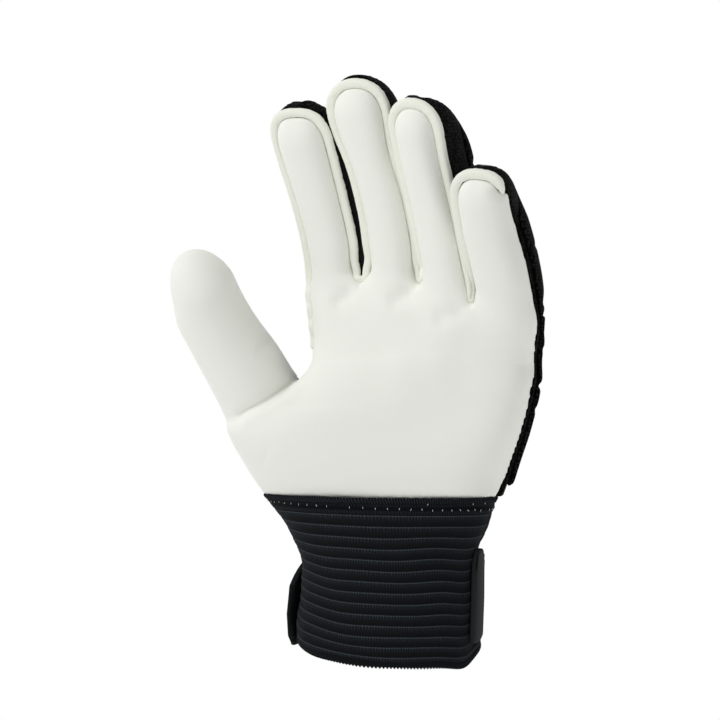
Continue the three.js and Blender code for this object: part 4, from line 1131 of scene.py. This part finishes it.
# ------------------------------------------------------------------ strap
def strap_mesh(rows, thick, steps, chamfer=None, crown=0.25):
    t, v = smooth_rows(rows, 0.5)
    angles = np.linspace(rows[0, 0], rows[-1, 0], steps)
    nz = 40
    def at(angle, z, off):
        c, s = np.cos(np.radians(angle)), np.sin(np.radians(angle))
        cx, a0, b = (np.interp(z, CT, CV[:, j]) for j in range(3))
        a = np.where(a0 < 42.5, a0, 42.5 + (a0 - 42.5) * 0.75) + off
        return np.stack([cx + a * np.sign(c) * np.abs(c) ** 0.95, (b + off) * np.sign(s) * np.abs(s) ** 0.95, z], -1)
    # cross profile: rounded rectangle in (height share, stand-off share)
    q = np.linspace(0, 2 * np.pi, 2 * nz, endpoint=False)
    c, s = np.cos(q), np.sin(q)
    hs = np.sign(c) * np.abs(c) ** 0.14
    os_ = 0.5 + 0.5 * np.sign(s) * np.abs(s) ** 0.35
    rings = []
    uv = []
    n = len(angles)
    for i, ang in enumerate(angles):
        mid, half, off = (np.interp(ang, t, v[:, j]) for j in range(3))
        e = min(i, n - 1 - i)
        k = math.sqrt(max(0.0, 1 - (1 - min(1, (e + 0.4) / 3)) ** 2))
        upper, lower = mid + half, mid - half
        if chamfer:
            upper -= chamfer[1] * np.clip((ang - chamfer[0]) / (angles[-1] - chamfer[0]), 0, 1) ** 1.0
            lower += chamfer[2] * np.clip((ang - chamfer[0]) / (angles[-1] - chamfer[0]), 0, 1) ** 2.0
        upper -= 4.6 * step01(ang, -6, 7) * (1 - step01(ang, 30, 75))
        m2, h2 = (upper + lower) / 2, (upper - lower) / 2
        z = m2 + hs * h2
        o = off + thick * (0.5 + (os_ - 0.5) * k) - 0.8 * step01(ang, 165, 180) * step01(-z, -24, -6)
        rings.append(at(np.full(len(q), ang), z, o))
        uv.append(np.column_stack([np.full(len(q), ang * 0.7), z]))
    pts = np.concatenate(rings)
    cols = len(q)
    quads = grid_quads(n, cols, True)
    a, b = len(pts), len(pts) + 1
    pts = np.vstack([pts, rings[0].mean(0), rings[-1].mean(0)])
    caps = []
    for j in range(0, cols, 2):
        j1, j2 = (j + 1) % cols, (j + 2) % cols
        caps.append((a, j2, j1, j))
        caps.append((b, (n - 1) * cols + j, (n - 1) * cols + j1, (n - 1) * cols + j2))
    uv = np.vstack([np.concatenate(uv), [[0, 0], [0, 0]]])
    quads = np.vstack([quads, np.array(caps)])
    p = pts[quads]
    vol = np.einsum("ij,ij->i", p[:, 0], np.cross(p[:, 1], p[:, 2])).sum() + np.einsum("ij,ij->i", p[:, 0], np.cross(p[:, 2], p[:, 3])).sum()
    return pts, (quads if vol > 0 else quads[:, ::-1]), uv


pts, quads, uv = strap_mesh(STRAP, 3.0, 300, chamfer=(171, 8.6, 0.6))
piece(make("back_strap", pts, quads, MAT["strap"], uv), ["wrist_strap"])
pts, quads, uv = strap_mesh(ANCHOR, 3.0, 60)
piece(make("strap_edge", pts, quads, MAT["rubber"], uv), ["strap_anchor"])

# ------------------------------------------------------------------ studio
def emitter(name, strength, color=(1, 1, 1, 1)):
    mat = bpy.data.materials.new(name)
    mat.use_nodes = True
    t = mat.node_tree
    for n in list(t.nodes):
        t.nodes.remove(n)
    out = t.nodes.new("ShaderNodeOutputMaterial")
    e = t.nodes.new("ShaderNodeEmission")
    e.inputs["Strength"].default_value = strength
    e.inputs["Color"].default_value = color
    t.links.new(e.outputs[0], out.inputs[0])
    return mat


def stage_sweep():
    """A pale sweep: floor that curves up into the wall behind."""
    prof = [(-2.2, -0.32), (0.9, -0.32)]
    for q in np.linspace(0, np.pi / 2, 12):
        prof.append((0.9 + 0.7 * math.sin(q), -0.32 + 0.7 * (1 - math.cos(q))))
    prof.append((1.6, 2.6))
    a = math.radians(22)
    right = np.array((math.cos(a), math.sin(a), 0))
    depth = np.array((-math.sin(a), math.cos(a), 0))
    pts = []
    for y, z in prof:
        for x in np.linspace(-3, 3, 7):
            pts.append(right * x + depth * y + np.array((0, 0, z)))
    return np.array(pts) * 1000, grid_quads(len(prof), 7)


pts, quads = stage_sweep()
floor = make("floor", pts, quads, emitter("pale_sweep", 1.0))

world = bpy.data.worlds.new("studio")
bpy.context.scene.world = world
world.use_nodes = True
world.node_tree.nodes["Background"].inputs[0].default_value = (1, 1, 1, 1)
world.node_tree.nodes["Background"].inputs[1].default_value = 0.455


def area(name, where, towards, size, watts, color=(1, 1, 1)):
    d = bpy.data.lights.new(name, "AREA")
    d.energy = watts
    d.size = size
    d.color = color
    ob = bpy.data.objects.new(name, d)
    bpy.context.scene.collection.objects.link(ob)
    ob.location = where
    ob.rotation_euler = (Vector(towards) - Vector(where)).to_track_quat("-Z", "Y").to_euler()
    return ob


A22 = math.radians(22)
RIGHT = Vector((math.cos(A22), math.sin(A22), 0))
AWAY = Vector((-math.sin(A22), math.cos(A22), 0))
TARGET = Vector((-0.0136, 0, 0.127))
area("key", TARGET - RIGHT * 0.75 - AWAY * 0.55 + Vector((0, 0, 0.95)), TARGET, 0.55, 8.4)

cam_data = bpy.data.cameras.new("camera")
cam_data.lens = 102.0
cam_data.sensor_width = 36.0
cam_data.clip_start = 0.01
cam_data.clip_end = 50
cam = bpy.data.objects.new("camera", cam_data)
bpy.context.scene.collection.objects.link(cam)
EL8 = math.radians(8)
LOOK = Vector((-math.sin(A22) * math.cos(EL8), math.cos(A22) * math.cos(EL8), -math.sin(EL8)))
cam.location = TARGET - LOOK * 0.9
cam.rotation_euler = LOOK.to_track_quat("-Z", "Y").to_euler()
bpy.context.scene.camera = cam

bpy.context.scene.view_settings.view_transform = "Standard"
bpy.context.scene.view_settings.look = "None"
bpy.context.scene.view_settings.exposure = 0.0
bpy.context.scene.view_settings.gamma = 1.0
